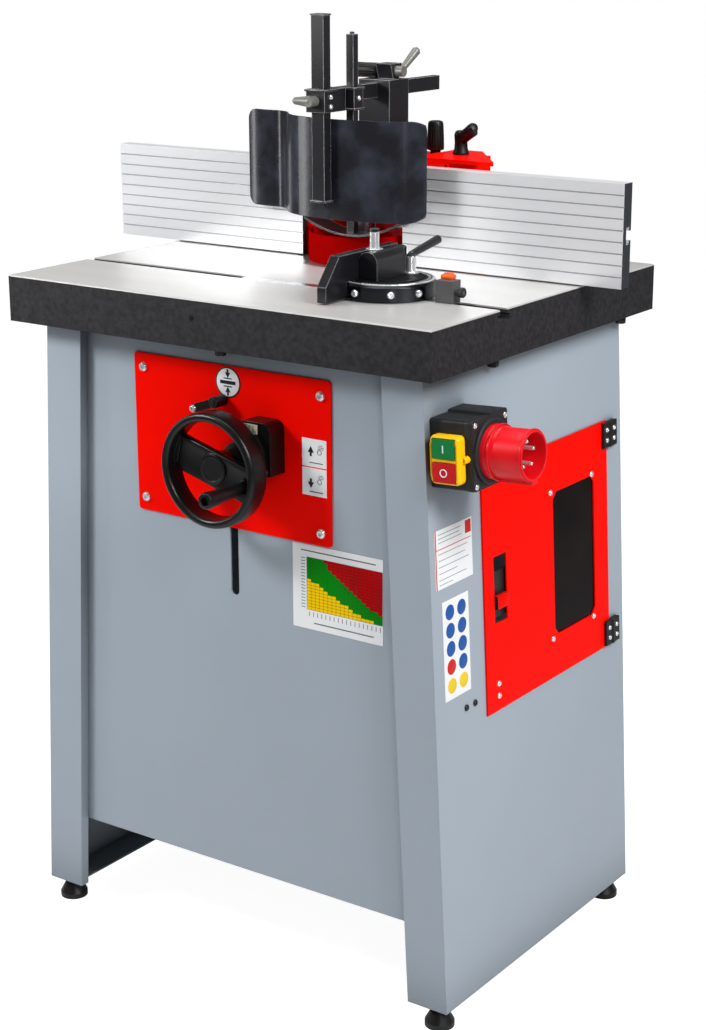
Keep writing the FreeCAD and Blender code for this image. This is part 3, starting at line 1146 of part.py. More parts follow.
def hinge_frame_leaves():
    """Fixed hinge leaves with two outer knuckles each and the hinge pin."""
    leaves = []
    third = HINGE_HEIGHT / 3
    outer = SLIDE_GAP + DOOR_SHEET + HINGE_LEAF_THICKNESS
    for low in hinge_heights():
        leaf = box((0, HINGE_Y + HINGE_KNUCKLE + SLIDE_GAP, low),
                   (outer, HINGE_Y + HINGE_LEAF, low + HINGE_HEIGHT))
        parts = [leaf]
        for start in (low, low + 2 * third):
            tongue = box((SLIDE_GAP, HINGE_Y, start), (outer, HINGE_Y + HINGE_LEAF, start + third))
            barrel = rod(HINGE_KNUCKLE, (HINGE_X, HINGE_Y, start), (HINGE_X, HINGE_Y, start + third))
            parts += [tongue, barrel]
        parts.append(rod(HINGE_PIN, (HINGE_X, HINGE_Y, low), (HINGE_X, HINGE_Y, low + HINGE_HEIGHT)))
        leaves.append(on_side(joined(*parts)))
    return group(*leaves)


def hinge_door_leaves():
    """Moving hinge leaves with the middle knuckle, screwed to the door."""
    leaves = []
    third = HINGE_HEIGHT / 3
    inner = SLIDE_GAP + DOOR_SHEET
    outer = inner + HINGE_LEAF_THICKNESS
    for low in hinge_heights():
        start, end = low + third + SLIDE_GAP, low + 2 * third - SLIDE_GAP
        leaf = box((inner, HINGE_Y - HINGE_LEAF, low),
                   (outer, HINGE_Y - HINGE_KNUCKLE - SLIDE_GAP, low + HINGE_HEIGHT))
        tongue = box((inner, HINGE_Y - HINGE_LEAF, start), (outer, HINGE_Y, end))
        barrel = rod(HINGE_KNUCKLE, (HINGE_X, HINGE_Y, start), (HINGE_X, HINGE_Y, end))
        bore = rod(HINGE_PIN + RUN_GAP, (HINGE_X, HINGE_Y, start - OVERRUN),
                   (HINGE_X, HINGE_Y, end + OVERRUN))
        leaves.append(on_side(joined(leaf, tongue, barrel).cut(bore)))
    return group(*leaves)


# Switch box and plug inlet, drawn flat on the side panel

def switch_box():
    """Plastic switch box with a raised rear part, and wells behind the two buttons."""
    body = box((0, BOX_FRONT, BOX_BOTTOM), (BOX_DEPTH, BOX_FRONT + BOX_WIDTH, -BOX_DROP))
    step = box((0, BOX_FRONT + BOX_WIDTH - BOX_STEP_WIDTH, BOX_BOTTOM),
               (BOX_DEPTH, BOX_FRONT + BOX_WIDTH, -BOX_DROP + BOX_STEP_HEIGHT))
    return on_side(joined(rounded(body, X_AXIS, BOX_CORNER), rounded(step, X_AXIS, BOX_CORNER)))


def button_places():
    """Heights of the start and stop buttons on the flat drawing."""
    return BUTTON_Z + BUTTON_SPACING / 2, BUTTON_Z - BUTTON_SPACING / 2


def switch_cover():
    """Raised switch cover on the front of the box, with two open button wells."""
    low_z = BUTTON_Z - COVER_HEIGHT / 2
    cover = box((COVER_INSET, COVER_FACE, low_z),
                (COVER_INSET + COVER_WIDTH, BOX_FRONT, low_z + COVER_HEIGHT))
    cover = rounded(cover, Y_AXIS, COVER_CORNER)
    wide, high = BUTTON_WIDTH / 2 + SLIDE_GAP, BUTTON_HEIGHT / 2 + SLIDE_GAP
    wells = [box((BUTTON_X - wide, COVER_FACE - OVERRUN, z - high),
                 (BUTTON_X + wide, COVER_FACE + BUTTON_WELL, z + high))
             for z in button_places()]
    return on_side(without(cover, *wells))


def push_button(z):
    """Square push button in its well."""
    front = COVER_FACE - BUTTON_PROUD
    return on_side(box((BUTTON_X - BUTTON_WIDTH / 2, front, z - BUTTON_HEIGHT / 2),
                       (BUTTON_X + BUTTON_WIDTH / 2, front + BUTTON_DEPTH, z + BUTTON_HEIGHT / 2)))


def inlet_shroud():
    """Round plug inlet: collar, thin shroud with a closed floor, and the key rib below."""
    low = BOX_DEPTH
    profile = [(0, 0), (INLET_COLLAR_RADIUS, 0), (INLET_COLLAR_RADIUS, INLET_COLLAR / 2),
               (INLET_RADIUS, INLET_COLLAR),
               (INLET_RADIUS, INLET_LENGTH), (INLET_RADIUS - INLET_WALL, INLET_LENGTH),
               (INLET_RADIUS - INLET_WALL, INLET_FLOOR), (0, INLET_FLOOR)]
    shroud = turned(profile, (low, INLET_Y, INLET_Z), X_AXIS)
    key = box((low + INLET_COLLAR / 2, INLET_Y - INLET_KEY_WIDTH / 2,
               INLET_Z - INLET_RADIUS - INLET_KEY_HEIGHT),
              (low + INLET_LENGTH, INLET_Y + INLET_KEY_WIDTH / 2, INLET_Z - INLET_RADIUS + INLET_WALL / 2))
    return on_side(joined(shroud, key))


def inlet_pins():
    """Five contact pins standing on the floor of the inlet."""
    pins = []
    floor = BOX_DEPTH + INLET_FLOOR
    for n in range(INLET_PINS):
        angle = -pi / 2 + 2 * pi * n / INLET_PINS
        y, z = INLET_Y + INLET_PIN_CIRCLE * cos(angle), INLET_Z + INLET_PIN_CIRCLE * sin(angle)
        pins.append(on_side(rod(INLET_PIN_RADIUS, (floor, y, z), (floor + INLET_PIN_LENGTH, y, z))))
    return group(*pins)


# Fence and dust hood

def dust_hood():
    """Welded sheet hood behind the fence, with jambs and the left fence bracket, and its port."""
    top_low = HOOD_TOP - HOOD_SHEET
    base = TABLE_TOP
    top = box((HOOD_LEFT, HOOD_FRONT, top_low), (HOOD_RIGHT, HOOD_BACK, HOOD_TOP))
    back = box((HOOD_LEFT, HOOD_BACK - HOOD_SHEET, base), (HOOD_RIGHT, HOOD_BACK, HOOD_TOP))
    sides = [box((x, HOOD_FRONT, base), (x + HOOD_SHEET, HOOD_BACK, HOOD_TOP))
             for x in (HOOD_LEFT, HOOD_RIGHT - HOOD_SHEET)]
    jamb_front = FENCE_FACE + FENCE_THICKNESS / 2
    jambs = [box((x, jamb_front, base), (x + JAMB_SHEET, HOOD_BACK, top_low))
             for x in (GAP_LEFT + SLIDE_GAP, GAP_RIGHT - SLIDE_GAP - JAMB_SHEET)]
    post = fence_bracket(GAP_LEFT - BRACKET_SIDE_GAP, HOOD_LEFT + HOOD_SHEET + BRACKET_SIDE_GAP, top_low)
    port_z = TABLE_TOP + PORT_LIFT
    port_end = HOOD_BACK + PORT_LENGTH
    spigot = rod(PORT_RADIUS, (SPINDLE_X, HOOD_BACK + RUN_GAP, port_z), (SPINDLE_X, port_end, port_z))
    bore = rod(PORT_RADIUS - PORT_WALL, (SPINDLE_X, HOOD_BACK - HOOD_SHEET - OVERRUN, port_z),
               (SPINDLE_X, port_end + OVERRUN, port_z))
    hood = without(joined(top, back, post, *sides, *jambs), bore)
    notch_back = HOOD_FRONT + BRACKET_PLATE + SLIDE_GAP
    notch = box((GAP_RIGHT + BRACKET_SIDE_GAP - SLIDE_GAP, HOOD_FRONT - OVERRUN, top_low - OVERRUN),
                (right_bracket_far() + SLIDE_GAP, notch_back, HOOD_TOP + OVERRUN))
    slot_half = LEVER_STUD_RADIUS + SLIDE_GAP
    slot = joined(box((LEVER_X - slot_half, LEVER_Y - FENCE_ADJUST, top_low - OVERRUN),
                      (LEVER_X + slot_half, LEVER_Y + FENCE_ADJUST, HOOD_TOP + OVERRUN)),
                  rod(slot_half, (LEVER_X, LEVER_Y - FENCE_ADJUST, top_low - OVERRUN),
                      (LEVER_X, LEVER_Y - FENCE_ADJUST, HOOD_TOP + OVERRUN)),
                  rod(slot_half, (LEVER_X, LEVER_Y + FENCE_ADJUST, top_low - OVERRUN),
                      (LEVER_X, LEVER_Y + FENCE_ADJUST, HOOD_TOP + OVERRUN)))
    knob = rod(KNOB_STUD_RADIUS + RUN_GAP, (KNOB_X, KNOB_Y, top_low - OVERRUN),
               (KNOB_X, KNOB_Y, HOOD_TOP + OVERRUN))
    return group(without(hood, slot, knob, notch), without(spigot, bore))


def right_bracket_far():
    """Right end of the right bracket's upright, inside the hood's side."""
    return HOOD_RIGHT - HOOD_SHEET - BRACKET_SIDE_GAP


def fence_bracket(near, far, top):
    """Upright plate behind one fence half, with the tongue in the fence's T-slot."""
    low_x, high_x = sorted((near, far))
    upright = box((low_x, HOOD_FRONT, FENCE_BOTTOM), (high_x, HOOD_FRONT + BRACKET_PLATE, top))
    neck_half = FENCE_T_OPENING / 2 - SLIDE_GAP
    head_half = FENCE_T_WIDTH / 2 - SLIDE_GAP
    neck = box((low_x, FENCE_BACK - FENCE_T_NECK - SLIDE_GAP, FENCE_T_Z - neck_half),
               (high_x, HOOD_FRONT, FENCE_T_Z + neck_half))
    head = box((low_x, FENCE_BACK - FENCE_T_DEPTH + SLIDE_GAP, FENCE_T_Z - head_half),
               (high_x, FENCE_BACK - FENCE_T_NECK - SLIDE_GAP, FENCE_T_Z + head_half))
    return joined(upright, neck, head)


def right_fence_bracket():
    """Bracket of the right fence half: its tapered plate lies on the hood, held by the clamp lever."""
    low_x, front = GAP_RIGHT + BRACKET_SIDE_GAP, HOOD_FRONT
    seat = HOOD_TOP + SLIDE_GAP
    plate = prism([(low_x, front), (low_x + RIGHT_PLATE_WIDTH, front),
                   (low_x + RIGHT_PLATE_WIDTH, front + BRACKET_PLATE),
                   (low_x + RIGHT_PLATE_REAR_WIDTH, front + RIGHT_PLATE_DEPTH),
                   (low_x, front + RIGHT_PLATE_DEPTH)], "z", seat, seat + BRACKET_PLATE)
    body = joined(fence_bracket(low_x, right_bracket_far(), seat + BRACKET_PLATE), plate)
    return body.cut(rod(LEVER_STUD_RADIUS + RUN_GAP, (LEVER_X, LEVER_Y, seat - OVERRUN),
                        (LEVER_X, LEVER_Y, seat + BRACKET_PLATE + OVERRUN)))


def fence_half(low_x):
    """Grooved aluminium fence bar with a T-slot along its back."""
    high_x = low_x + FENCE_LENGTH
    top = FENCE_BOTTOM + FENCE_HEIGHT
    bar = box((low_x, FENCE_FACE, FENCE_BOTTOM), (high_x, FENCE_BACK, top))
    pitch = FENCE_HEIGHT / (FENCE_GROOVES + 1)
    grooves = []
    for n in range(1, FENCE_GROOVES + 1):
        z = FENCE_BOTTOM + n * pitch
        grooves.append(box((low_x - OVERRUN, FENCE_FACE - OVERRUN, z - FENCE_GROOVE_WIDTH / 2),
                           (high_x + OVERRUN, FENCE_FACE + FENCE_GROOVE_DEPTH, z + FENCE_GROOVE_WIDTH / 2)))
    neck = box((low_x - OVERRUN, FENCE_BACK - FENCE_T_NECK, FENCE_T_Z - FENCE_T_OPENING / 2),
               (high_x + OVERRUN, FENCE_BACK + OVERRUN, FENCE_T_Z + FENCE_T_OPENING / 2))
    head = box((low_x - OVERRUN, FENCE_BACK - FENCE_T_DEPTH, FENCE_T_Z - FENCE_T_WIDTH / 2),
               (high_x + OVERRUN, FENCE_BACK - FENCE_T_NECK, FENCE_T_Z + FENCE_T_WIDTH / 2))
    return without(bar, neck, head, *grooves)


def cutter_cover():
    """Low round sheet cover in front of the cutter, with a flange at each jamb."""
    base = TABLE_TOP + TOUCH_GAP
    top = base + COVER_RING_HEIGHT
    band = ring(COVER_RING_RADIUS, COVER_RING_RADIUS - COVER_RING_WALL, (SPINDLE_X, SPINDLE_Y, base),
                (SPINDLE_X, SPINDLE_Y, top))
    jamb_front = FENCE_FACE + FENCE_THICKNESS / 2
    band = band.common(box((GAP_LEFT, FENCE_FACE - COVER_RING_RADIUS, base), (GAP_RIGHT, jamb_front, top)))
    reach = (COVER_RING_RADIUS ** 2 - (SPINDLE_Y - jamb_front) ** 2) ** 0.5
    left = box((GAP_LEFT + SLIDE_GAP, jamb_front - COVER_RING_WALL, base),
               (SPINDLE_X - reach + COVER_RING_WALL, jamb_front, top))
    return joined(band, left, mirrored(left, SPINDLE_X))


def clamp_lever(x, y, seat, stud_bottom, arm_deg):
    """Ratchet clamp lever on an upright stud: hub, rising arm and rounded grip end."""
    hub = rod(LEVER_HUB_RADIUS, (x, y, seat), (x, y, seat + LEVER_HUB_HEIGHT))
    stud = rod(LEVER_STUD_RADIUS, (x, y, stud_bottom), (x, y, seat))
    angle = radians(arm_deg)
    start = (x, y, seat + LEVER_HUB_HEIGHT - LEVER_ARM_RADIUS)
    end = (x + LEVER_ARM_LENGTH * cos(angle), y + LEVER_ARM_LENGTH * sin(angle), start[2] + LEVER_ARM_RISE)
    arm = taper(LEVER_ARM_RADIUS, LEVER_TIP_RADIUS, start, end)
    tip = blunt(LEVER_TIP_RADIUS, start, end)
    crown = blunt(LEVER_HUB_RADIUS, (x, y, seat), (x, y, seat + LEVER_HUB_HEIGHT))
    return joined(hub, stud, arm, tip, crown)


def fence_clamp_lever():
    """Lever that locks the right fence's bracket on the hood."""
    return clamp_lever(LEVER_X, LEVER_Y, HOOD_TOP + SLIDE_GAP + BRACKET_PLATE + SLIDE_GAP,
                       HOOD_TOP - HOOD_SHEET - BRACKET_PLATE, LEVER_ARM_DEG)


def hood_knob():
    """Grip knob on the long stud that holds the hood down on the table."""
    seat = HOOD_TOP + SLIDE_GAP
    profile = [(0, 0), (KNOB_NECK, 0), (KNOB_NECK, KNOB_NECK), (KNOB_RADIUS, KNOB_NECK),
               (KNOB_RADIUS, KNOB_HEIGHT - KNOB_STUD_RADIUS / 2),
               (KNOB_RADIUS - KNOB_STUD_RADIUS / 2, KNOB_HEIGHT), (0, KNOB_HEIGHT)]
    stud = rod(KNOB_STUD_RADIUS - RUN_GAP, (KNOB_X, KNOB_Y, TABLE_TOP - TABLE_PLATE),
               (KNOB_X, KNOB_Y, seat))
    return joined(turned(profile, (KNOB_X, KNOB_Y, seat)), stud)


# Guard

def guard_column():
    """Square column on the hood with the arm window near its top and the clamp block above."""
    half = GUARD_COLUMN_WIDTH / 2
    wall = GUARD_COLUMN_WALL
    tube = box((GUARD_X - half, COLUMN_FRONT, HOOD_TOP), (GUARD_X + half, COLUMN_REAR, COLUMN_TOP))
    hollow = box((GUARD_X - half + wall, COLUMN_FRONT + wall, HOOD_TOP + wall),
                 (GUARD_X + half - wall, COLUMN_REAR - wall, COLUMN_TOP - ARM_DROP + SLIDE_GAP))
    side = ARM_WIDTH / 2 + SLIDE_GAP
    window = box((GUARD_X - side, COLUMN_FRONT - OVERRUN, ARM_BOTTOM - SLIDE_GAP),
                 (GUARD_X + side, COLUMN_REAR + OVERRUN, ARM_TOP + SLIDE_GAP))
    foot = CLAMP_BLOCK_DEPTH * CLAMP_BLOCK_FOOT_SHARE / 2
    head = CLAMP_BLOCK_DEPTH / 2
    block = prism([(CLAMP_Y - foot, COLUMN_TOP), (CLAMP_Y + foot, COLUMN_TOP),
                   (CLAMP_Y + head, COLUMN_TOP + CLAMP_BLOCK_HEIGHT),
                   (CLAMP_Y - head, COLUMN_TOP + CLAMP_BLOCK_HEIGHT)],
                  "x", CLAMP_X - CLAMP_BLOCK_WIDTH / 2, CLAMP_X + CLAMP_BLOCK_WIDTH / 2)
    bore = rod(CLAMP_STUD_RADIUS + RUN_GAP, (CLAMP_X - CLAMP_BLOCK_WIDTH, CLAMP_Y, CLAMP_Z),
               (CLAMP_X + CLAMP_BLOCK_WIDTH, CLAMP_Y, CLAMP_Z))
    return without(joined(tube.cut(hollow), block), window, bore)


def arm_clamp_lever():
    """Lever on the right of the clamp block."""
    face = CLAMP_X + CLAMP_BLOCK_WIDTH / 2 + SLIDE_GAP
    angle = radians(ARM_LEVER_DEG)
    hub = rod(ARM_LEVER_HUB, (face, CLAMP_Y, CLAMP_Z), (face + ARM_LEVER_HUB_LENGTH, CLAMP_Y, CLAMP_Z))
    stud = rod(CLAMP_STUD_RADIUS, (CLAMP_X + SLIDE_GAP, CLAMP_Y, CLAMP_Z), (face, CLAMP_Y, CLAMP_Z))
    start_x = face + ARM_LEVER_HUB_LENGTH - LEVER_ARM_RADIUS
    start = (start_x, CLAMP_Y, CLAMP_Z)
    end = (start_x + ARM_LEVER_LEAN, CLAMP_Y + ARM_LEVER_LENGTH * cos(angle),
           CLAMP_Z + ARM_LEVER_LENGTH * sin(angle))
    arm = taper(CLAMP_STUD_RADIUS, LEVER_TIP_RADIUS, start, end)
    return joined(hub, stud, arm, blunt(LEVER_TIP_RADIUS, start, end))


def arm_clamp_knob():
    """Round grip on the left of the clamp block."""
    face = CLAMP_X - CLAMP_BLOCK_WIDTH / 2 - SLIDE_GAP
    profile = [(0, 0), (ARM_LEVER_HUB, 0), (ARM_KNOB_RADIUS, CLAMP_STUD_RADIUS),
               (ARM_KNOB_RADIUS, ARM_KNOB_LENGTH - CLAMP_STUD_RADIUS),
               (ARM_LEVER_HUB, ARM_KNOB_LENGTH), (0, ARM_KNOB_LENGTH)]
    stud = rod(CLAMP_STUD_RADIUS, (face, CLAMP_Y, CLAMP_Z), (CLAMP_X - SLIDE_GAP, CLAMP_Y, CLAMP_Z))
    return joined(turned(profile, (face, CLAMP_Y, CLAMP_Z), -X_AXIS), stud)


def guard_arm():
    """Flat bar that slides in the column, with the post sleeve in front and the bar collar on its right."""
    bar = box((GUARD_X - ARM_WIDTH / 2, POST_BACK + SLEEVE_BACK, ARM_BOTTOM),
              (GUARD_X + ARM_WIDTH / 2, COLUMN_REAR + ARM_REAR_REACH, ARM_TOP))
    half = POST_SIZE / 2 + SLEEVE_WALL
    clear = POST_SIZE / 2 + SLIDE_GAP
    sleeve = box((GUARD_X - half, SLEEVE_FRONT, SLEEVE_BOTTOM),
                 (GUARD_X + half, POST_BACK + SLEEVE_BACK, ARM_TOP))
    hole = box((GUARD_X - clear, POST_FRONT - SLIDE_GAP, SLEEVE_BOTTOM - OVERRUN),
               (GUARD_X + clear, POST_BACK + SLIDE_GAP, ARM_TOP + OVERRUN))
    bolt = rod(POST_KNOB_STUD + RUN_GAP, (GUARD_X, SLEEVE_FRONT - OVERRUN, knob_height()),
               (GUARD_X, POST_FRONT, knob_height()))
    collar_half = BAR_SIZE / 2 + COLLAR_WALL
    collar_clear = BAR_SIZE / 2 + SLIDE_GAP
    collar_low = ARM_TOP - COLLAR_HEIGHT
    collar = box((GUARD_X + ARM_WIDTH / 2 - RUN_GAP, BAR_Y - collar_half, collar_low),
                 (BAR_X + collar_half, BAR_Y + collar_half, ARM_TOP))
    collar_hole = box((BAR_X - collar_clear, BAR_Y - collar_clear, collar_low - OVERRUN),
                      (BAR_X + collar_clear, BAR_Y + collar_clear, ARM_TOP + OVERRUN))
    return without(joined(bar, sleeve, collar), hole, bolt, collar_hole)


def knob_height():
    """Height of the post's clamp knob."""
    return (SLEEVE_BOTTOM + ARM_TOP) / 2


def post_clamp_knob():
    """Clamp screw at the front of the sleeve, with a tapered grip that points to the left."""
    x, z = GUARD_X, knob_height()
    face = SLEEVE_FRONT - SLIDE_GAP
    axis_y = face - POST_KNOB_STANDOFF
    hub = rod(POST_KNOB_HUB, (x, face, z), (x, axis_y - POST_KNOB_HUB, z))
    start, end = (x, axis_y, z), (x - POST_KNOB_LENGTH, axis_y, z)
    grip = taper(POST_KNOB_RADIUS, POST_KNOB_TIP, start, end)
    stud = rod(POST_KNOB_STUD, (x, face, z), (x, POST_FRONT - POST_KNOB_GAP, z))
    return joined(hub, grip, blunt(POST_KNOB_TIP, start, end), stud)


def guard_post():
    """Square tube with a flat cap, welded to the front of the shield."""
    half = POST_SIZE / 2
    hollow = half - POST_WALL
    tube = box((GUARD_X - half, POST_FRONT, POST_BOTTOM), (GUARD_X + half, POST_BACK, POST_TOP))
    inside = box((GUARD_X - hollow, POST_FRONT + POST_WALL, POST_BOTTOM + POST_WALL),
                 (GUARD_X + hollow, POST_BACK - POST_WALL, POST_TOP - POST_WALL))
    cap = box((GUARD_X - half - POST_CAP_LIP, POST_FRONT - POST_CAP_LIP, POST_TOP),
              (GUARD_X + half + POST_CAP_LIP, POST_BACK + POST_CAP_LIP, POST_TOP + POST_CAP))
    return joined(tube.cut(inside), cap)


def shield_line():
    """Plan of the shield's front face: tangent bends walked from its right end to the left lobe."""
    spot = V(0, 0, 0)
    heading = radians(SHIELD_START_DEG)
    arcs = []
    for radius, bend_deg in zip(SHIELD_RADII, SHIELD_BENDS_DEG):
        side = 1 if bend_deg > 0 else -1
        centre = spot + V(-sin(heading), cos(heading), 0) * radius * side
        steps = []
        for share in (0.5, 1):
            turned_to = heading + radians(bend_deg) * share
            steps.append(centre + V(sin(turned_to), -cos(turned_to), 0) * radius * side)
        arcs.append(Part.Arc(spot, steps[0], steps[1]).toShape())
        spot = steps[1]
        heading += radians(bend_deg)
    line = Part.Wire(arcs)
    crest = line.optimalBoundingBox().YMin
    line.translate(V(GUARD_X + SHIELD_RIGHT, SHIELD_FRONT - crest, SHIELD_BOTTOM))
    return line


def guard_shield():
    """Curved sheet shield with rounded corners."""
    line = shield_line()
    sheet = line.makeOffset2D(SHIELD_SHEET, 0, True, True).extrude(Z_AXIS * SHIELD_HEIGHT)
    spread = sheet.optimalBoundingBox()
    frame = box((spread.XMin, spread.YMin - OVERRUN, SHIELD_BOTTOM),
                (spread.XMax, spread.YMax + OVERRUN, SHIELD_BOTTOM + SHIELD_HEIGHT))
    return sheet.common(rounded(frame, Y_AXIS, SHIELD_CORNER))


def hold_down_shoe():
    """Springy shoe behind the shield, turned up at both ends."""
    radius = (SHOE_HALF_LENGTH ** 2 + SHOE_SAG ** 2) / (2 * SHOE_SAG)
    x, y = BAR_X + SHOE_X_FROM_BAR, BAR_Y - SHOE_AHEAD_OF_BAR
    centre_z = SHOE_BOTTOM + radius
    band = ring(radius, radius - SHOE_SHEET, (x, y, centre_z), (x, y + SHOE_WIDTH, centre_z))
    return band.common(box((x - SHOE_HALF_LENGTH, y, SHOE_BOTTOM),
                           (x + SHOE_HALF_LENGTH, y + SHOE_WIDTH, centre_z)))


def hold_down_bar():
    """Thin square bar in the arm's collar, standing on the shoe, with a stop pin on top."""
    half = BAR_SIZE / 2
    bar = box((BAR_X - half, BAR_Y - half, SHOE_BOTTOM + SHOE_SHEET / 2),
              (BAR_X + half, BAR_Y + half, BAR_TOP))
    pin = rod(BAR_PIN_RADIUS, (BAR_X, BAR_Y, BAR_TOP), (BAR_X, BAR_Y, BAR_TOP + BAR_PIN_HEIGHT))
    return joined(bar, pin).cut(hold_down_shoe())


# Mitre gauge

def mitre_bar():
    """Guide bar with a T foot that runs in the table's slot, and the pivot pin for the head."""
    neck = T_SLOT_OPENING / 2 - SLIDE_GAP
    foot = T_SLOT_WIDTH / 2 - SLIDE_GAP
    left, right = MITRE_X - MITRE_BAR_LEFT, MITRE_X + MITRE_BAR_RIGHT
    shoulder = TABLE_TOP - T_SLOT_NECK - SLIDE_GAP
    bar = box((left, SLOT_Y - neck, shoulder), (right, SLOT_Y + neck, TABLE_TOP + SLIDE_GAP))
    tee = box((left, SLOT_Y - foot, TABLE_TOP - T_SLOT_NECK - T_SLOT_FOOT + SLIDE_GAP),
              (right, SLOT_Y + foot, shoulder))
    pivot = rod(MITRE_PIVOT_RADIUS, (MITRE_X, SLOT_Y, TABLE_TOP),
                (MITRE_X, SLOT_Y, TABLE_TOP + MITRE_PIVOT_HEIGHT))
    return joined(bar, tee, pivot)


def mitre_base():
    """Round base that turns on the bar's pivot pin."""
    seat = TABLE_TOP + 2 * SLIDE_GAP
    height = MITRE_TOP - seat
    profile = [(0, 0), (MITRE_RADIUS, 0), (MITRE_RADIUS, height - MITRE_RIM_DROP),
               (MITRE_RADIUS - MITRE_RIM_DROP, height),
               (0, height)]
    disc = turned(profile, (MITRE_X, SLOT_Y, seat))
    return disc.cut(rod(MITRE_PIVOT_RADIUS + RUN_GAP, (MITRE_X, SLOT_Y, TABLE_TOP - OVERRUN),
                        (MITRE_X, SLOT_Y, TABLE_TOP + MITRE_PIVOT_HEIGHT + SLIDE_GAP)))


def mitre_head():
    """Cast head on the base with a rounded back, and the stop stud on top."""
    front, back = SLOT_Y - HEAD_FRONT, SLOT_Y + HEAD_BACK
    face, far = HEAD_X, HEAD_X + 2 * HEAD_BARREL_RADIUS
    shoulder = MITRE_TOP + HEAD_HEIGHT - HEAD_BARREL_RADIUS
    crown = V(face + HEAD_BARREL_RADIUS, front, MITRE_TOP + HEAD_HEIGHT)
    near_top, far_top = V(face, front, shoulder), V(far, front, shoulder)
    sides = Part.makePolygon([near_top, V(face, front, MITRE_TOP), V(far, front, MITRE_TOP), far_top])
    outline = Part.Wire(sides.Edges + [Part.Arc(far_top, crown, near_top).toShape()])
    body = Part.Face(outline).extrude(Y_AXIS * (back - front))
    stud_x, stud_y = face + HEAD_STUD_INSET, SLOT_Y - HEAD_STUD_FRONT
    stud = rod(HEAD_STUD_RADIUS, (stud_x, stud_y, MITRE_TOP),
               (stud_x, stud_y, MITRE_TOP + HEAD_HEIGHT + HEAD_STUD_HEIGHT))
    lever = rod(MITRE_LEVER_WASHER + SLIDE_GAP, (MITRE_LEVER_X, MITRE_LEVER_Y, MITRE_TOP),
                (MITRE_LEVER_X, MITRE_LEVER_Y, MITRE_TOP + HEAD_HEIGHT + OVERRUN))
    return joined(body, stud).cut(lever)


def mitre_fence():
    """Fence plate of the gauge with a sloped front end."""
    low, top = FENCE_BOTTOM, FENCE_BOTTOM + MITRE_FENCE_HEIGHT
    front, back = SLOT_Y - MITRE_FENCE_FRONT, SLOT_Y + MITRE_FENCE_BACK
    outline = [(front, low), (back, low), (back, top), (front + MITRE_FENCE_SLOPE, top),
               (front, low + MITRE_FENCE_TOE)]
    return prism(outline, "x", HEAD_X - MITRE_FENCE_THICKNESS, HEAD_X).cut(
        rod(MITRE_RADIUS + SLIDE_GAP, (MITRE_X, SLOT_Y, TABLE_TOP), (MITRE_X, SLOT_Y, MITRE_TOP)))


def mitre_lever():
    """Lever that locks the angle, standing on the base behind the head."""
    x, y = MITRE_LEVER_X, MITRE_LEVER_Y
    seat = MITRE_TOP + SLIDE_GAP
    washer = rod(MITRE_LEVER_WASHER, (x, y, seat), (x, y, seat + MITRE_RIM_DROP))
    hub = rod(MITRE_LEVER_HUB, (x, y, seat), (x, y, seat + MITRE_LEVER_HUB_HEIGHT))
    start = (x, y, seat + MITRE_LEVER_HUB_HEIGHT)
    end = (x, y + MITRE_LEVER_LENGTH, start[2] + MITRE_LEVER_RISE)
    arm = taper(MITRE_LEVER_RADIUS, MITRE_LEVER_HUB, start, end)
    crown = blunt(MITRE_LEVER_HUB, (x, y, seat), start)
    return joined(washer, hub, crown, arm, blunt(MITRE_LEVER_HUB, start, end))


def stop_block():
    """Index block of the gauge on the bar's right end, and its thumbscrew."""
    low_x = MITRE_X + MITRE_BAR_RIGHT - STOP_LENGTH
    low = TABLE_TOP + SLIDE_GAP
    block = box((low_x, SLOT_Y - STOP_DEPTH / 2, low),
                (low_x + STOP_LENGTH, SLOT_Y + STOP_DEPTH / 2, TABLE_TOP + STOP_HEIGHT))
    middle = TABLE_TOP + STOP_HEIGHT / 2
    screw = rod(STOP_SCREW_RADIUS, (low_x + STOP_LENGTH, SLOT_Y, middle),
                (low_x + STOP_LENGTH + STOP_SCREW_LENGTH, SLOT_Y, middle))
    return group(block, screw)


def start_button():
    """Upper push button."""
    return push_button(button_places()[0])


def stop_button():
    """Lower push button."""
    return push_button(button_places()[1])


def left_side_panel():
    """Plain left side."""
    return mirrored(side_panel())


def left_fence():
    """Fence half on the infeed side."""
    return fence_half(GAP_LEFT - FENCE_LENGTH)


def right_fence():
    """Fence half on the outfeed side."""
    return fence_half(GAP_RIGHT)


PIECES = [table_top, table_rings, left_side_panel, right_side_panel, front_panel, rear_panel,
          levelling_feet, foot_studs,
          handwheel_plate, shaft_bush, height_readout, handwheel, crank_handle, height_lock_lever,
          drive_shaft, lift_screw,
          lift_bracket, guide_column, spindle_carriage, spindle_bearings, spindle_shaft, spindle_pulley,
          spacer_rings,
          arbor_nut, motor_body, motor_pulley, drive_belt, door_panel, door_window, door_latch,
          hinge_frame_leaves,
          hinge_door_leaves, switch_box, switch_cover, start_button, stop_button, inlet_shroud,
          inlet_pins, dust_hood,
          cutter_cover, left_fence, right_fence, right_fence_bracket, fence_clamp_lever, hood_knob,
          guard_column,
          arm_clamp_lever, arm_clamp_knob, guard_arm, post_clamp_knob, guard_post, guard_shield,
          hold_down_bar,
          hold_down_shoe, mitre_bar, mitre_base, mitre_head, mitre_fence, mitre_lever, stop_block]

shapes = {piece.__name__: piece() for piece in PIECES}
whole = Part.makeCompound(list(shapes.values())).optimalBoundingBox()
to_origin = V(-whole.Center.x, -whole.Center.y, -whole.ZMin)
os.makedirs("parts", exist_ok=True)
for name, shape in shapes.items():
    shape.translate(to_origin)
    shape.exportStep("parts/" + name + ".step")
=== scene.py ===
from math import cos, pi, radians, sin

import bpy
from mathutils import Matrix, Vector


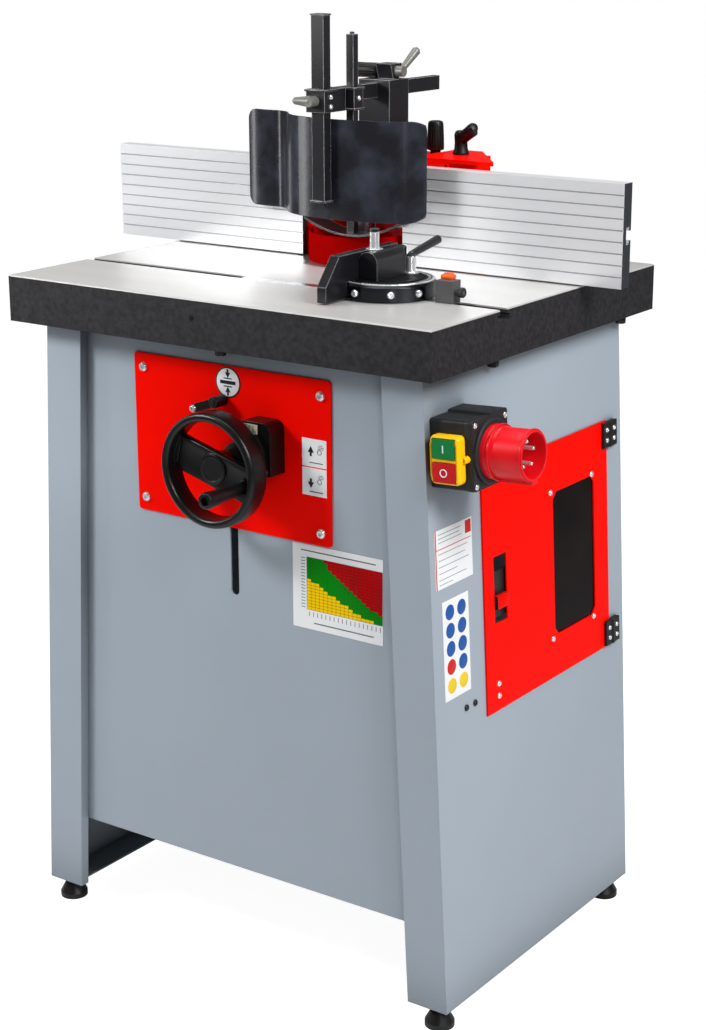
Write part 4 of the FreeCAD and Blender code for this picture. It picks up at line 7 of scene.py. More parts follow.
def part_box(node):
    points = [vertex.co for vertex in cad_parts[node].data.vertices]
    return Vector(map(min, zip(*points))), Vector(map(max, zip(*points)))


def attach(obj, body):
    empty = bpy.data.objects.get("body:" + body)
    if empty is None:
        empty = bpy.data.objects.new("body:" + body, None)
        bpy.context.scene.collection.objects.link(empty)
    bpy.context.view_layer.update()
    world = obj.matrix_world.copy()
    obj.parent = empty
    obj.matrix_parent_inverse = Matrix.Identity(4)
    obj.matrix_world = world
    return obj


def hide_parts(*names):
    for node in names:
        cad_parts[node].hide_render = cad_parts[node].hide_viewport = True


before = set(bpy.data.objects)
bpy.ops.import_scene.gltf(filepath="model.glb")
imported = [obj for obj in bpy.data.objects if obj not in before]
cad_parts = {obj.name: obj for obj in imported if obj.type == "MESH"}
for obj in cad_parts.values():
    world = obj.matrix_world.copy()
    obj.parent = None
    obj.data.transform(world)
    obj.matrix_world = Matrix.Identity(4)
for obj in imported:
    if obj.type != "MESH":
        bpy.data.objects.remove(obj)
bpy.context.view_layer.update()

# Studio: pale floor, white surround and soft lamps round a machine that stands on its own feet.
# Every place below is in millimetres from the middle of the table, with the floor at zero.
table_low, table_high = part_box("table_top")
MM = 0.001


def at(x, y, z):
    """Point in the row frame, in metres."""
    middle_x = (table_low.x + table_high.x) / 2
    middle_y = (table_low.y + table_high.y) / 2
    return Vector((middle_x + x * MM, middle_y + y * MM, z * MM))


def rgb(red, green, blue):
    """Screen colour from 0 to 255 as the linear values that a shader takes."""
    steps = [v / 255 for v in (red, green, blue)]
    return [((v + 0.055) / 1.055) ** 2.4 if v > 0.04 else v / 12.92 for v in steps] + [1.0]


scene = bpy.context.scene
scene.view_settings.view_transform = "Standard"

SURROUND_LIGHT, SURROUND_SHEEN = 0.12, 0.05
surround = bpy.data.worlds.new("studio_surround")
surround.use_nodes = True
scene.world = surround
sky, sky_links = surround.node_tree.nodes, surround.node_tree.links
sky["Background"].inputs["Color"].default_value = (1.0, 1.0, 1.0, 1.0)
ray = sky.new("ShaderNodeLightPath")
seen = sky.new("ShaderNodeMath")
seen.operation = "MAXIMUM"
sky_links.new(ray.outputs["Is Camera Ray"], seen.inputs[0])
sky_links.new(ray.outputs["Is Transmission Ray"], seen.inputs[1])
level = sky.new("ShaderNodeMapRange")
level.inputs["To Min"].default_value = SURROUND_LIGHT
level.inputs["To Max"].default_value = 1.0
sky_links.new(seen.outputs[0], level.inputs["Value"])
shiny = sky.new("ShaderNodeMath")
shiny.operation = "MULTIPLY_ADD"
shiny.inputs[1].default_value = SURROUND_SHEEN
sky_links.new(ray.outputs["Is Glossy Ray"], shiny.inputs[0])
sky_links.new(level.outputs["Result"], shiny.inputs[2])
sky_links.new(shiny.outputs[0], sky["Background"].inputs["Strength"])

FLOOR_WIDTH, FLOOR_DROP = 30000, 0.5
FLOOR_GREY, FLOOR_GLOW, GLOW_SHARE = 0.74, 1.9, 0.5
bpy.ops.object.select_all(action="DESELECT")
bpy.ops.mesh.primitive_plane_add(size=FLOOR_WIDTH * MM, location=(0, 0, -FLOOR_DROP * MM))
floor = bpy.context.object
floor.name = "studio_floor"
pale = bpy.data.materials.new("studio_floor")
pale.use_nodes = True
pale_nodes, pale_links = pale.node_tree.nodes, pale.node_tree.links
matt = pale_nodes["Principled BSDF"]
matt.inputs["Base Color"].default_value = (FLOOR_GREY, FLOOR_GREY, FLOOR_GREY, 1.0)
matt.inputs["Roughness"].default_value = 0.9
glow = pale_nodes.new("ShaderNodeEmission")
glow.inputs["Strength"].default_value = FLOOR_GLOW
floor_ray = pale_nodes.new("ShaderNodeLightPath")
part_lit = pale_nodes.new("ShaderNodeMath")
part_lit.operation = "MULTIPLY"
part_lit.inputs[1].default_value = GLOW_SHARE
pale_links.new(floor_ray.outputs["Is Camera Ray"], part_lit.inputs[0])
blend = pale_nodes.new("ShaderNodeMixShader")
pale_links.new(part_lit.outputs[0], blend.inputs["Fac"])
pale_links.new(matt.outputs["BSDF"], blend.inputs[1])
pale_links.new(glow.outputs["Emission"], blend.inputs[2])
pale_links.new(blend.outputs["Shader"], pale_nodes["Material Output"].inputs["Surface"])
floor.data.materials.append(pale)

# Each lamp has its name, its place, the place it points at, its width, its height and its watts.
LAMPS = (
    ("front_lamp", (-900, -1080, 1500), (-180, -220, 640), 320, 320, 15),
    ("side_lamp", (2300, -500, 2400), (300, 0, 760), 1000, 1000, 70),
    ("top_lamp", (-200, 200, 2900), (0, 0, 900), 2000, 2000, 41),
    ("left_strip", (-1700, -750, 1350), (0, 0, 1050), 160, 1500, 6),
    ("right_strip", (2000, -1750, 1650), (0, 0, 1050), 140, 1500, 6),
)
for name, spot, target, width, height, watts in LAMPS:
    lamp = bpy.data.lights.new(name, "AREA")
    lamp.shape = "RECTANGLE"
    lamp.size = width * MM
    lamp.size_y = height * MM
    lamp.energy = watts
    holder = bpy.data.objects.new(name, lamp)
    scene.collection.objects.link(holder)
    holder.location = at(*spot)
    holder.rotation_euler = (at(*target) - at(*spot)).to_track_quat("-Z", "Y").to_euler()

CAMERA_PLACE = (1531.23, -2132.0, 1347.4)
CAMERA_SWING, CAMERA_DOWN, CAMERA_ROLL = 35.202, 16.596, -0.189
lens = bpy.data.cameras.new("photo_camera")
lens.sensor_width = 36
lens.lens = 70.78
camera = bpy.data.objects.new("photo_camera", lens)
scene.collection.objects.link(camera)
looking = (Matrix.Rotation(radians(CAMERA_SWING), 4, "Z")
           @ Matrix.Rotation(radians(90 - CAMERA_DOWN), 4, "X")
           @ Matrix.Rotation(radians(CAMERA_ROLL), 4, "Z"))
camera.matrix_world = Matrix.Translation(at(*CAMERA_PLACE)) @ looking
scene.camera = camera

# Cabinet: two splayed sides, a front and a rear of folded steel sheet, welded and powder coated.
# The coat is grey with a faint orange peel. Dark button-head screws sit low and high in the sides.
# Colour painted on edges: partly bare steel where paint wore off, partly painted highlight.
WORN_AND_LIT_EDGE = (0.62, 0.63, 0.66, 1.0)


def finish(name, colour, roughness, metallic=0.0, drift=0.05, patch=5.0, grain=0.12, grain_size=900.0,
           stretch=(1, 1, 1), edge=0.6, depth=0.2, shine=0.32, edge_wear_and_glint=0.0):
    """Material with slowly drifting colour, uneven gloss, fine grain, soft edges, and lighter edges painted
    as worn paint and highlight.
    """
    made = bpy.data.materials.new(name)
    made.use_nodes = True
    nodes, links = made.node_tree.nodes, made.node_tree.links
    skin = nodes["Principled BSDF"]
    skin.inputs["Metallic"].default_value = metallic
    skin.inputs["Specular IOR Level"].default_value = shine
    spot = nodes.new("ShaderNodeTexCoord")
    spread = nodes.new("ShaderNodeMapping")
    spread.inputs["Scale"].default_value = stretch
    links.new(spot.outputs["Object"], spread.inputs["Vector"])
    slow = nodes.new("ShaderNodeTexNoise")
    slow.inputs["Scale"].default_value = patch
    slow.inputs["Detail"].default_value = 3.0
    links.new(spread.outputs["Vector"], slow.inputs["Vector"])
    tint = nodes.new("ShaderNodeValToRGB")
    tint.name = "tint"
    tint.color_ramp.elements[0].position = 0.3
    tint.color_ramp.elements[1].position = 0.7
    tint.color_ramp.elements[0].color = [v * (1 - drift) for v in colour[:3]] + [1.0]
    tint.color_ramp.elements[1].color = [min(1.0, v * (1 + drift)) for v in colour[:3]] + [1.0]
    links.new(slow.outputs["Fac"], tint.inputs["Fac"])
    links.new(tint.outputs["Color"], skin.inputs["Base Color"])
    fine = nodes.new("ShaderNodeTexNoise")
    fine.name = "fine"
    fine.inputs["Scale"].default_value = grain_size
    fine.inputs["Detail"].default_value = 2.0
    links.new(spread.outputs["Vector"], fine.inputs["Vector"])
    gloss = nodes.new("ShaderNodeMapRange")
    gloss.inputs["To Min"].default_value = roughness * 0.85
    gloss.inputs["To Max"].default_value = min(1.0, roughness * 1.15)
    links.new(slow.outputs["Fac"], gloss.inputs["Value"])
    links.new(gloss.outputs["Result"], skin.inputs["Roughness"])
    soft = nodes.new("ShaderNodeBevel")
    soft.samples = 4
    soft.inputs["Radius"].default_value = edge * MM
    bump = nodes.new("ShaderNodeBump")
    bump.name = "bump"
    bump.inputs["Strength"].default_value = grain
    bump.inputs["Distance"].default_value = depth * MM
    links.new(fine.outputs["Fac"], bump.inputs["Height"])
    links.new(soft.outputs["Normal"], bump.inputs["Normal"])
    links.new(bump.outputs["Normal"], skin.inputs["Normal"])
    # Edges are lightened, partly as worn paint and partly as painted highlight.
    if edge_wear_and_glint:
        true = nodes.new("ShaderNodeNewGeometry")
        bend = nodes.new("ShaderNodeVectorMath")
        bend.operation = "DOT_PRODUCT"
        links.new(soft.outputs["Normal"], bend.inputs[0])
        links.new(true.outputs["Normal"], bend.inputs[1])
        worn_lit_amount = nodes.new("ShaderNodeMapRange")
        worn_lit_amount.inputs["From Min"].default_value = 0.985
        worn_lit_amount.inputs["From Max"].default_value = 0.86
        worn_lit_amount.inputs["To Max"].default_value = edge_wear_and_glint
        links.new(bend.outputs["Value"], worn_lit_amount.inputs["Value"])
        worn_lit_edge = nodes.new("ShaderNodeMixRGB")
        worn_lit_edge.inputs["Color2"].default_value = WORN_AND_LIT_EDGE
        links.new(worn_lit_amount.outputs["Result"], worn_lit_edge.inputs["Fac"])
        links.new(tint.outputs["Color"], worn_lit_edge.inputs["Color1"])
        links.new(worn_lit_edge.outputs["Color"], skin.inputs["Base Color"])
    return made


def shade_hollows(material, reach, deepest, start=0.25, end=0.8):
    """Darkens a finish with painted shade in corners and hollows within a reach in millimetres."""
    nodes, links = material.node_tree.nodes, material.node_tree.links
    hollow = nodes.new("ShaderNodeAmbientOcclusion")
    hollow.samples = 6
    hollow.inputs["Distance"].default_value = reach * MM
    depth = nodes.new("ShaderNodeMapRange")
    depth.inputs["From Min"].default_value = start
    depth.inputs["From Max"].default_value = end
    depth.inputs["To Min"].default_value = deepest
    links.new(hollow.outputs["AO"], depth.inputs["Value"])
    shade = nodes.new("ShaderNodeMixRGB")
    shade.name = "shade"
    shade.blend_type = "MULTIPLY"
    shade.inputs["Fac"].default_value = 1.0
    links.new(nodes["tint"].outputs["Color"], shade.inputs["Color1"])
    links.new(depth.outputs["Result"], shade.inputs["Color2"])
    links.new(shade.outputs["Color"], nodes["Principled BSDF"].inputs["Base Color"])


def dress(material, *names):
    """Gives CAD nodes their finish."""
    for name in names:
        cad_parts[name].material_slots[0].material = material


def choose(*pieces):
    """Selects just these pieces, the first one active."""
    bpy.ops.object.select_all(action="DESELECT")
    for piece in pieces:
        piece.select_set(True)
    bpy.context.view_layer.objects.active = pieces[0]


def place(piece, spot=(0, 0, 0), turn=(0, 0, 0)):
    """Turns a piece by degrees, moves it by millimetres and keeps both in its mesh."""
    choose(piece)
    piece.location = Vector(spot) * MM
    piece.rotation_euler = [radians(v) for v in turn]
    bpy.ops.object.transform_apply(location=True, rotation=True, scale=True)
    return piece


def weld(*pieces):
    """Joins pieces into one."""
    choose(*pieces)
    bpy.ops.object.join()
    return pieces[0]


def copies(piece, seats):
    """Repeats a piece at each (spot, turn) and joins the lot."""
    made = []
    for spot, turn in seats:
        choose(piece)
        bpy.ops.object.duplicate()
        made.append(place(bpy.context.object, spot, turn))
    bpy.data.objects.remove(piece)
    return weld(*made)


def settle(piece, name, material, body, slot, spot=(0, 0, 0), turn=(0, 0, 0)):
    """Brings a finished piece to its place on the machine, with its finish and the body that carries it."""
    choose(piece)
    piece.location = at(*spot)
    piece.rotation_euler = [radians(v) for v in turn]
    bpy.ops.object.transform_apply(location=True, rotation=True, scale=True)
    bpy.ops.object.shade_smooth_by_angle(angle=radians(35))
    piece.name = name
    piece.data.name = name
    piece.data.materials.clear()
    piece.data.materials.append(material)
    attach(piece, body)
    return piece


def draw_out(profile):
    """Draws the selected circle out ring by ring along (radius, height) points, in millimetres."""
    radius, height = profile[0]
    bpy.ops.transform.translate(value=(0, 0, height * MM))
    for wide, high in profile[1:]:
        bpy.ops.mesh.extrude_region_move(TRANSFORM_OT_translate={"value": (0, 0, (high - height) * MM)})
        bpy.ops.transform.resize(value=(wide / radius, wide / radius, 1), center_override=(0, 0, high * MM))
        radius, height = wide, high


def turn_on_lathe(profile, sides=32):
    """Turned piece: a disc drawn out along (radius, height) points."""
    bpy.ops.object.select_all(action="DESELECT")
    bpy.ops.mesh.primitive_circle_add(vertices=sides, radius=profile[0][0] * MM, fill_type="NGON",
                                      location=(0, 0, 0))
    piece = bpy.context.object
    bpy.ops.object.mode_set(mode="EDIT")
    bpy.ops.mesh.select_all(action="SELECT")
    draw_out(profile)
    bpy.ops.mesh.select_all(action="SELECT")
    bpy.ops.mesh.normals_make_consistent(inside=False)
    bpy.ops.object.mode_set(mode="OBJECT")
    return piece


def turn_ring(profile, sides=48):
    """Turned ring: a bare circle drawn round a closed (radius, height) outline."""
    bpy.ops.object.select_all(action="DESELECT")
    bpy.ops.mesh.primitive_circle_add(vertices=sides, radius=profile[0][0] * MM, fill_type="NOTHING",
                                      location=(0, 0, 0))
    piece = bpy.context.object
    bpy.ops.object.mode_set(mode="EDIT")
    bpy.ops.mesh.select_mode(type="VERT")
    bpy.ops.mesh.select_all(action="SELECT")
    draw_out(list(profile) + [profile[0]])
    bpy.ops.mesh.select_all(action="SELECT")
    bpy.ops.mesh.remove_doubles(threshold=0.01 * MM)
    bpy.ops.mesh.normals_make_consistent(inside=False)
    bpy.ops.object.mode_set(mode="OBJECT")
    return piece


def slab(size, edge, steps=2):
    """Block of a size in millimetres with rounded edges."""
    bpy.ops.object.select_all(action="DESELECT")
    bpy.ops.mesh.primitive_cube_add(size=MM, location=(0, 0, 0))
    piece = bpy.context.object
    bpy.ops.object.mode_set(mode="EDIT")
    bpy.ops.mesh.select_all(action="SELECT")
    bpy.ops.transform.resize(value=size, center_override=(0, 0, 0))
    bpy.ops.mesh.bevel(offset=edge * MM, segments=steps, affect="EDGES")
    bpy.ops.mesh.select_all(action="SELECT")
    bpy.ops.mesh.normals_make_consistent(inside=False)
    bpy.ops.object.mode_set(mode="OBJECT")
    return piece


def cut(piece, tool):
    """Takes a tool's shape out of a piece."""
    choose(piece)
    trim = piece.modifiers.new("trim", "BOOLEAN")
    trim.operation = "DIFFERENCE"
    trim.solver = "EXACT"
    trim.object = tool
    bpy.ops.object.modifier_apply(modifier="trim")
    bpy.data.objects.remove(tool)
    return piece


def screws(name, radius, height, seats, material, body="machine", **where):
    """Button-head screws with six-sided sockets, one at each (spot, turn)."""
    head = turn_on_lathe([(radius, 0), (radius, height * 0.4), (radius * 0.9, height * 0.72),
                          (radius * 0.68, height), (radius * 0.46, height)], 18)
    socket = turn_on_lathe([(radius * 0.4, 0), (radius * 0.4, height), (radius * 0.44, height * 2)], 6)
    head = cut(head, place(socket, (0, 0, height * 0.45)))
    return settle(copies(head, seats), name, material, body, "bright_steel", **where)


TO_FRONT, TO_REAR, TO_RIGHT, TO_LEFT, UP = (90, 0, 0), (-90, 0, 0), (0, 90, 0), (0, -90, 0), (0, 0, 0)
CABINET_TOP, SIDE_X, SPLAY = 840, 292, 3
RIGHT_SIDE = {"spot": (SIDE_X, 0, CABINET_TOP), "turn": (0, -SPLAY, 0)}
LEFT_SIDE = {"spot": (-SIDE_X, 0, CABINET_TOP), "turn": (0, SPLAY, 0)}

cabinet_grey = finish("cabinet_grey", rgb(160, 171, 182), 0.42, drift=0.03, patch=3.0, grain=0.1,
                      grain_size=650.0, edge=1.5)
# Painted shade darkens the cabinet's corners, recesses and its inside.
shade_hollows(cabinet_grey, 160, 0.16)
dark_screw = finish("dark_screw", rgb(52, 53, 56), 0.4, metallic=0.7, drift=0.1, patch=90, grain=0.1)
dress(cabinet_grey, "left_side_panel", "right_side_panel", "front_panel", "rear_panel")
screws("side_clip_screws", 4.2, 2.4, [((0, y, -427), TO_RIGHT) for y in (-168, -148)], dark_screw,
       **RIGHT_SIDE)
screws("left_side_screws", 4.2, 2.4, [((0, y, z), TO_LEFT) for y in (-200, 200) for z in (-40, -700)],
       dark_screw, **LEFT_SIDE)


# Cards: two thin white vinyl stickers pressed on the paint of the right side.
# The upper one has a red border and ruled lines, the lower one rows of plain coloured dots.
def strip(size, spot, edge=0.1):
    """Thin flat card or printed strip with its edges just broken."""
    return place(slab(size, edge, 1), spot)


def stick(piece, name, material):
    """Sticks a card or a print on the right side."""
    return settle(piece, name, material, "machine", "cabinet_paint", **RIGHT_SIDE)


card_white = finish("card_white", rgb(236, 238, 240), 0.5, drift=0.02, patch=20, grain=0.03, edge=0.2)
card_red = finish("card_red", rgb(206, 30, 28), 0.5, drift=0.03, patch=20, grain=0.03, edge=0.2)
rating_y, rating_z, rating_high = -184.5, -226.5, 73
stick(strip((0.5, 82, rating_high), (0.2, rating_y, rating_z), 0.2), "rating_card", card_white)
border = strip((0.5, 2.4, rating_high), (0.35, -223.6, rating_z), 0.2)
stick(weld(border, strip((0.5, 76, 1.2), (0.35, rating_y, -214), 0.2)), "rating_card_border", card_red)
ruled_grey = finish("ruled_grey", rgb(96, 98, 104), 0.5, drift=0.05, patch=60, grain=0.03, edge=0.1)
RULES_START = -218
RULES = ((50, -196), (46, -201), (52, -206), (64, -220), (58, -228), (66, -236), (40, -244), (60, -252),
         (30, -258))
rules = [strip((0.4, long, 0.7), (0.4, RULES_START + long / 2, z)) for long, z in RULES]
stick(weld(*rules), "rating_card_lines", ruled_grey)
stick(strip((0.4, 13, 16), (0.4, -152, -200)), "rating_card_block", card_red)
stick(strip((0.5, 58, 126), (0.2, -185, -343), 0.2), "notice_card", card_white)
dot_blue = finish("dot_blue", rgb(28, 84, 160), 0.5, drift=0.04, patch=40, grain=0.03, edge=0.1)
dot_yellow = finish("dot_yellow", rgb(236, 200, 30), 0.5, drift=0.04, patch=40, grain=0.03, edge=0.1)
front_y, rear_y, mixed_row, last_row = -198, -172, -365, -389
blue_seats = [(y, z) for z in (-296, -319, -342) for y in (front_y, rear_y)] + [(rear_y, mixed_row)]
for material, name, seats in (
        (dot_blue, "blue_dots", blue_seats),
        (card_red, "red_dot", [(front_y, mixed_row)]),
        (dot_yellow, "yellow_dots", [(front_y, last_row), (rear_y, last_row)])):
    dot = turn_on_lathe([(9.6, 0), (9.6, 0.2), (9.4, 0.3)], 28)
    stick(copies(dot, [((0.4, y, z), TO_RIGHT) for y, z in seats]), name, material)

# Feet: moulded rubber pads on threaded studs with a nut each, screwed up into the cabinet's lower lips.
# The rubber is black with a soft sheen and the studs are zinc plated.
foot_rubber = finish("foot_rubber", rgb(14, 14, 16), 0.36, drift=0.15, patch=40, grain=0.2,
                     grain_size=1200, shine=0.45)
zinc_plate = finish("zinc_plate", rgb(236, 237, 240), 0.24, metallic=0.75, drift=0.06, patch=60,
                    grain=0.05, grain_size=1500)
dress(foot_rubber, "levelling_feet")
dress(zinc_plate, "foot_studs")

# Table: one iron casting, ground on top, left rough and painted black on its sides and underneath.
# The two rings in the spindle hole are loose ground steel. A set screw and bolts with washers are dark.
TABLE_TOP, PAINT_ENDS, GRINDING_STARTS = 900, 2.2, 1.4
ground_iron = finish("ground_iron", rgb(192, 191, 189), 0.36, drift=0.06, patch=9, grain=0.14,
                     grain_size=420, stretch=(0.12, 1.6, 1), edge=0.8)
iron_nodes, iron_links = ground_iron.node_tree.nodes, ground_iron.node_tree.links
iron_skin, iron_bump = iron_nodes["Principled BSDF"], iron_nodes["bump"]
where = iron_nodes.new("ShaderNodeTexCoord")
split = iron_nodes.new("ShaderNodeSeparateXYZ")
iron_links.new(where.outputs["Object"], split.inputs["Vector"])
on_top = iron_nodes.new("ShaderNodeMapRange")
on_top.inputs["From Min"].default_value = (TABLE_TOP - PAINT_ENDS) * MM
on_top.inputs["From Max"].default_value = (TABLE_TOP - GRINDING_STARTS) * MM
iron_links.new(split.outputs["Z"], on_top.inputs["Value"])
cast_spots = iron_nodes.new("ShaderNodeTexNoise")
cast_spots.inputs["Scale"].default_value = 160
cast_spots.inputs["Detail"].default_value = 6
iron_links.new(where.outputs["Object"], cast_spots.inputs["Vector"])
cast_black = iron_nodes.new("ShaderNodeValToRGB")
cast_black.color_ramp.elements[0].position = 0.35
cast_black.color_ramp.elements[1].position = 0.75
cast_black.color_ramp.elements[0].color = rgb(20, 18, 21)
cast_black.color_ramp.elements[1].color = rgb(44, 42, 46)
iron_links.new(cast_spots.outputs["Fac"], cast_black.inputs["Fac"])
for cast, ground, socket in (
        (cast_black.outputs["Color"], iron_nodes["tint"].outputs["Color"], iron_skin.inputs["Base Color"]),
        (cast_spots.outputs["Fac"], iron_nodes["fine"].outputs["Fac"], iron_bump.inputs["Height"])):
    either = iron_nodes.new("ShaderNodeMixRGB")
    iron_links.new(on_top.outputs["Result"], either.inputs["Fac"])
    iron_links.new(cast, either.inputs["Color1"])
    iron_links.new(ground, either.inputs["Color2"])
    iron_links.new(either.outputs["Color"], socket)
for cast, ground, socket in (
        (0.0, 0.35, iron_skin.inputs["Metallic"]),
        (0.62, 0.36, iron_skin.inputs["Roughness"]),
        (0.6, 0.06, iron_bump.inputs["Strength"])):
    change = iron_nodes.new("ShaderNodeMapRange")
    change.inputs["To Min"].default_value = cast
    change.inputs["To Max"].default_value = ground
    iron_links.new(on_top.outputs["Result"], change.inputs["Value"])
    iron_links.new(change.outputs["Result"], socket)
dress(ground_iron, "table_top")
ring_steel = finish("ring_steel", rgb(190, 192, 194), 0.3, metallic=0.9, drift=0.05, patch=30, grain=0.05,
                    grain_size=600)
dress(ring_steel, "table_rings")
set_screw = turn_on_lathe([(3.8, 0), (3.8, 3), (3.4, 3.4), (1.9, 3.4), (1.7, 2.2), (0.3, 2.2)], 18)
settle(set_screw, "table_set_screw", dark_screw, "machine", "bright_steel", (-20, -266, 876), TO_FRONT)
bolt = weld(turn_on_lathe([(6.6, -14), (7, -13.4), (7, -6), (6.8, -5.6)], 6),
            turn_on_lathe([(8.6, -5.8), (8.8, -5.4), (8.8, -4), (8.4, -3.6)], 24),
            turn_on_lathe([(4, -4), (4, -0.4), (3.8, 0)], 16))
bolt_spots = [(x, y) for x in (-303, 303) for y in (-100, 222)] + [(-6, -234), (-6, 234)]
settle(copies(bolt, [((x, y, CABINET_TOP), UP) for x, y in bolt_spots]), "table_bolts", dark_screw,
       "machine", "bright_steel")

# Lift and drive inside the cabinet: turned steel, a dark bush, painted castings, a motor and a belt.
# All are bolted to the underside of the table or to the carriage.
turned_steel = finish("turned_steel", rgb(186, 188, 190), 0.26, metallic=1.0, drift=0.05, patch=40,
                      grain=0.06, grain_size=900)
casting_grey = finish("casting_grey", rgb(104, 110, 114), 0.55, drift=0.1, patch=25, grain=0.4,
                      grain_size=260)
bush_dark = finish("bush_dark", rgb(48, 46, 46), 0.4, metallic=0.6, drift=0.08, patch=50)
motor_blue = finish("motor_blue", rgb(74, 84, 98), 0.45, drift=0.06, patch=20, grain=0.2, grain_size=500)
pulley_alloy = finish("pulley_alloy", rgb(196, 198, 202), 0.3, metallic=1.0, drift=0.04, patch=60)
belt_rubber = finish("belt_rubber", rgb(22, 22, 23), 0.65, drift=0.15, patch=60, grain=0.3)
dress(turned_steel, "drive_shaft", "lift_screw", "spindle_shaft", "spacer_rings", "arbor_nut",
      "spindle_bearings")
dress(casting_grey, "lift_bracket", "guide_column", "spindle_carriage")
dress(bush_dark, "shaft_bush")
dress(motor_blue, "motor_body")
dress(pulley_alloy, "spindle_pulley", "motor_pulley")
dress(belt_rubber, "drive_belt")


# Front plate: red powder-coated sheet held by four bright screws, with the height readout and lock lever.
# A round height sign and two small cards with arrows are stuck on it, and a speed chart below it.
def soft_band(inner, outer, low, high, soft):
    """Outline of a ring's section with rounded corners."""
    middles = ((outer - soft, high - soft, 0), (inner + soft, high - soft, 90),
               (inner + soft, low + soft, 180), (outer - soft, low + soft, 270))
    return [(x + soft * cos(radians(start + part * 22.5)), y + soft * sin(radians(start + part * 22.5)))
            for x, y, start in middles for part in range(5)]


def arrow(high):
    """Flat arrow that points up, drawn about its middle."""
    tip = turn_on_lathe([(high * 0.42, 0), (high * 0.42, 0.3), (high * 0.38, 0.45)], 3)
    tail = strip((high * 0.24, high * 0.5, 0.45), (0, -high * 0.25, 0.22))
    return weld(place(tip, (0, high * 0.1, 0)), tail)


def inset_faces(piece, test, margin, lift):
    """Insets the faces whose centre and normal pass a test, and lifts or sinks them, in millimetres."""
    choose(piece)
    bpy.ops.object.mode_set(mode="EDIT")
    bpy.ops.mesh.select_mode(type="FACE")
    bpy.ops.mesh.select_all(action="DESELECT")
    bpy.ops.object.mode_set(mode="OBJECT")
    for face in piece.data.polygons:
        face.select = test(face.center / MM, face.normal)
    bpy.ops.object.mode_set(mode="EDIT")
    bpy.ops.mesh.inset(thickness=margin * MM, depth=lift * MM)
    bpy.ops.object.mode_set(mode="OBJECT")
    return piece


signal_red = finish("signal_red", rgb(252, 10, 0), 0.34, drift=0.04, patch=6, grain=0.08, grain_size=700,
                    edge=0.8, shine=0.03)
moulded_black = finish("moulded_black", rgb(9, 9, 10), 0.3, drift=0.12, patch=40, grain=0.35,
                       grain_size=1000, edge=1.4, shine=0.3)
print_black = finish("print_black", rgb(20, 20, 22), 0.5, drift=0.05, patch=40, grain=0.03)
pale_pane = finish("pale_pane", rgb(196, 186, 168), 0.2, drift=0.12, patch=160, grain=0.02)
chart_ink = {"drift": 0.04, "patch": 30, "grain": 0.03, "shine": 0.04}
chart_red = finish("chart_red", rgb(190, 0, 4), 0.6, **chart_ink)
chart_green = finish("chart_green", rgb(0, 140, 12), 0.6, **chart_ink)
chart_yellow = finish("chart_yellow", rgb(250, 206, 0), 0.6, **chart_ink)
dress(signal_red, "handwheel_plate")
dress(moulded_black, "height_readout", "height_lock_lever")
PLATE_FACE, PANEL_FACE = -225, -223
plate_corners = ((-139, 794), (139, 792), (-140.5, 622), (138.5, 620))
screws("plate_screws", 6.2, 3.8, [((x, PLATE_FACE, z), TO_FRONT) for x, z in plate_corners], zinc_plate)

sign_x, sign_z = -2, 791
on_plate = {"spot": (sign_x, PLATE_FACE, sign_z), "turn": TO_FRONT}
settle(turn_on_lathe([(19.6, 0), (19.6, 0.3), (19.2, 0.5)], 64), "height_sign_rim", print_black, "machine",
       "black_plastic", **on_plate)
settle(turn_on_lathe([(17.6, 0.2), (17.6, 0.6), (17.3, 0.75)], 64), "height_sign", card_white, "machine",
       "cabinet_paint", **on_plate)
mark = weld(strip((24, 4.4, 0.4), (0, 0, 0.2)), strip((13, 1.4, 0.4), (0, 5, 0.2)),
            strip((13, 1.4, 0.4), (0, -5, 0.2)), place(arrow(11), (0, -11.2, 0)),
            place(arrow(11), (0, 11.2, 0), (0, 0, 180)))
settle(mark, "height_sign_mark", print_black, "machine", "black_plastic",
       (sign_x, PLATE_FACE - 0.7, sign_z), TO_FRONT)

cards_x, print_face = 129, PLATE_FACE - 0.5
settle(copies(slab((36.5, 35, 0.5), 0.2, 1), [((0, z, 0.2), UP) for z in (720.2, 683.8)]), "arrow_cards",
       card_white, "machine", "cabinet_paint", (cards_x, PLATE_FACE, 0), TO_FRONT)
marks = weld(place(arrow(12), (-5, 722, 0)), place(arrow(12), (-5, 682, 0), (0, 0, 180)),
             strip((20, 0.9, 0.4), (3, 708, 0.2)), strip((20, 0.9, 0.4), (3, 671.5, 0.2)))
settle(marks, "arrow_card_marks", print_black, "machine", "black_plastic", (cards_x, print_face, 0), TO_FRONT)
faint = [place(turn_ring(soft_band(2.6, 3.3, 0, 0.3, 0.1), 20), (8, z, 0)) for z in (722, 685)]
faint += [strip((long, 0.6, 0.3), (10, base + rise, 0.1))
          for base in (726, 689) for long, rise in ((9, 0), (9, 2), (6, 4))]
settle(weld(*faint), "arrow_card_rings", ruled_grey, "machine", "grey_plastic", (cards_x, print_face, 0),
       TO_FRONT)

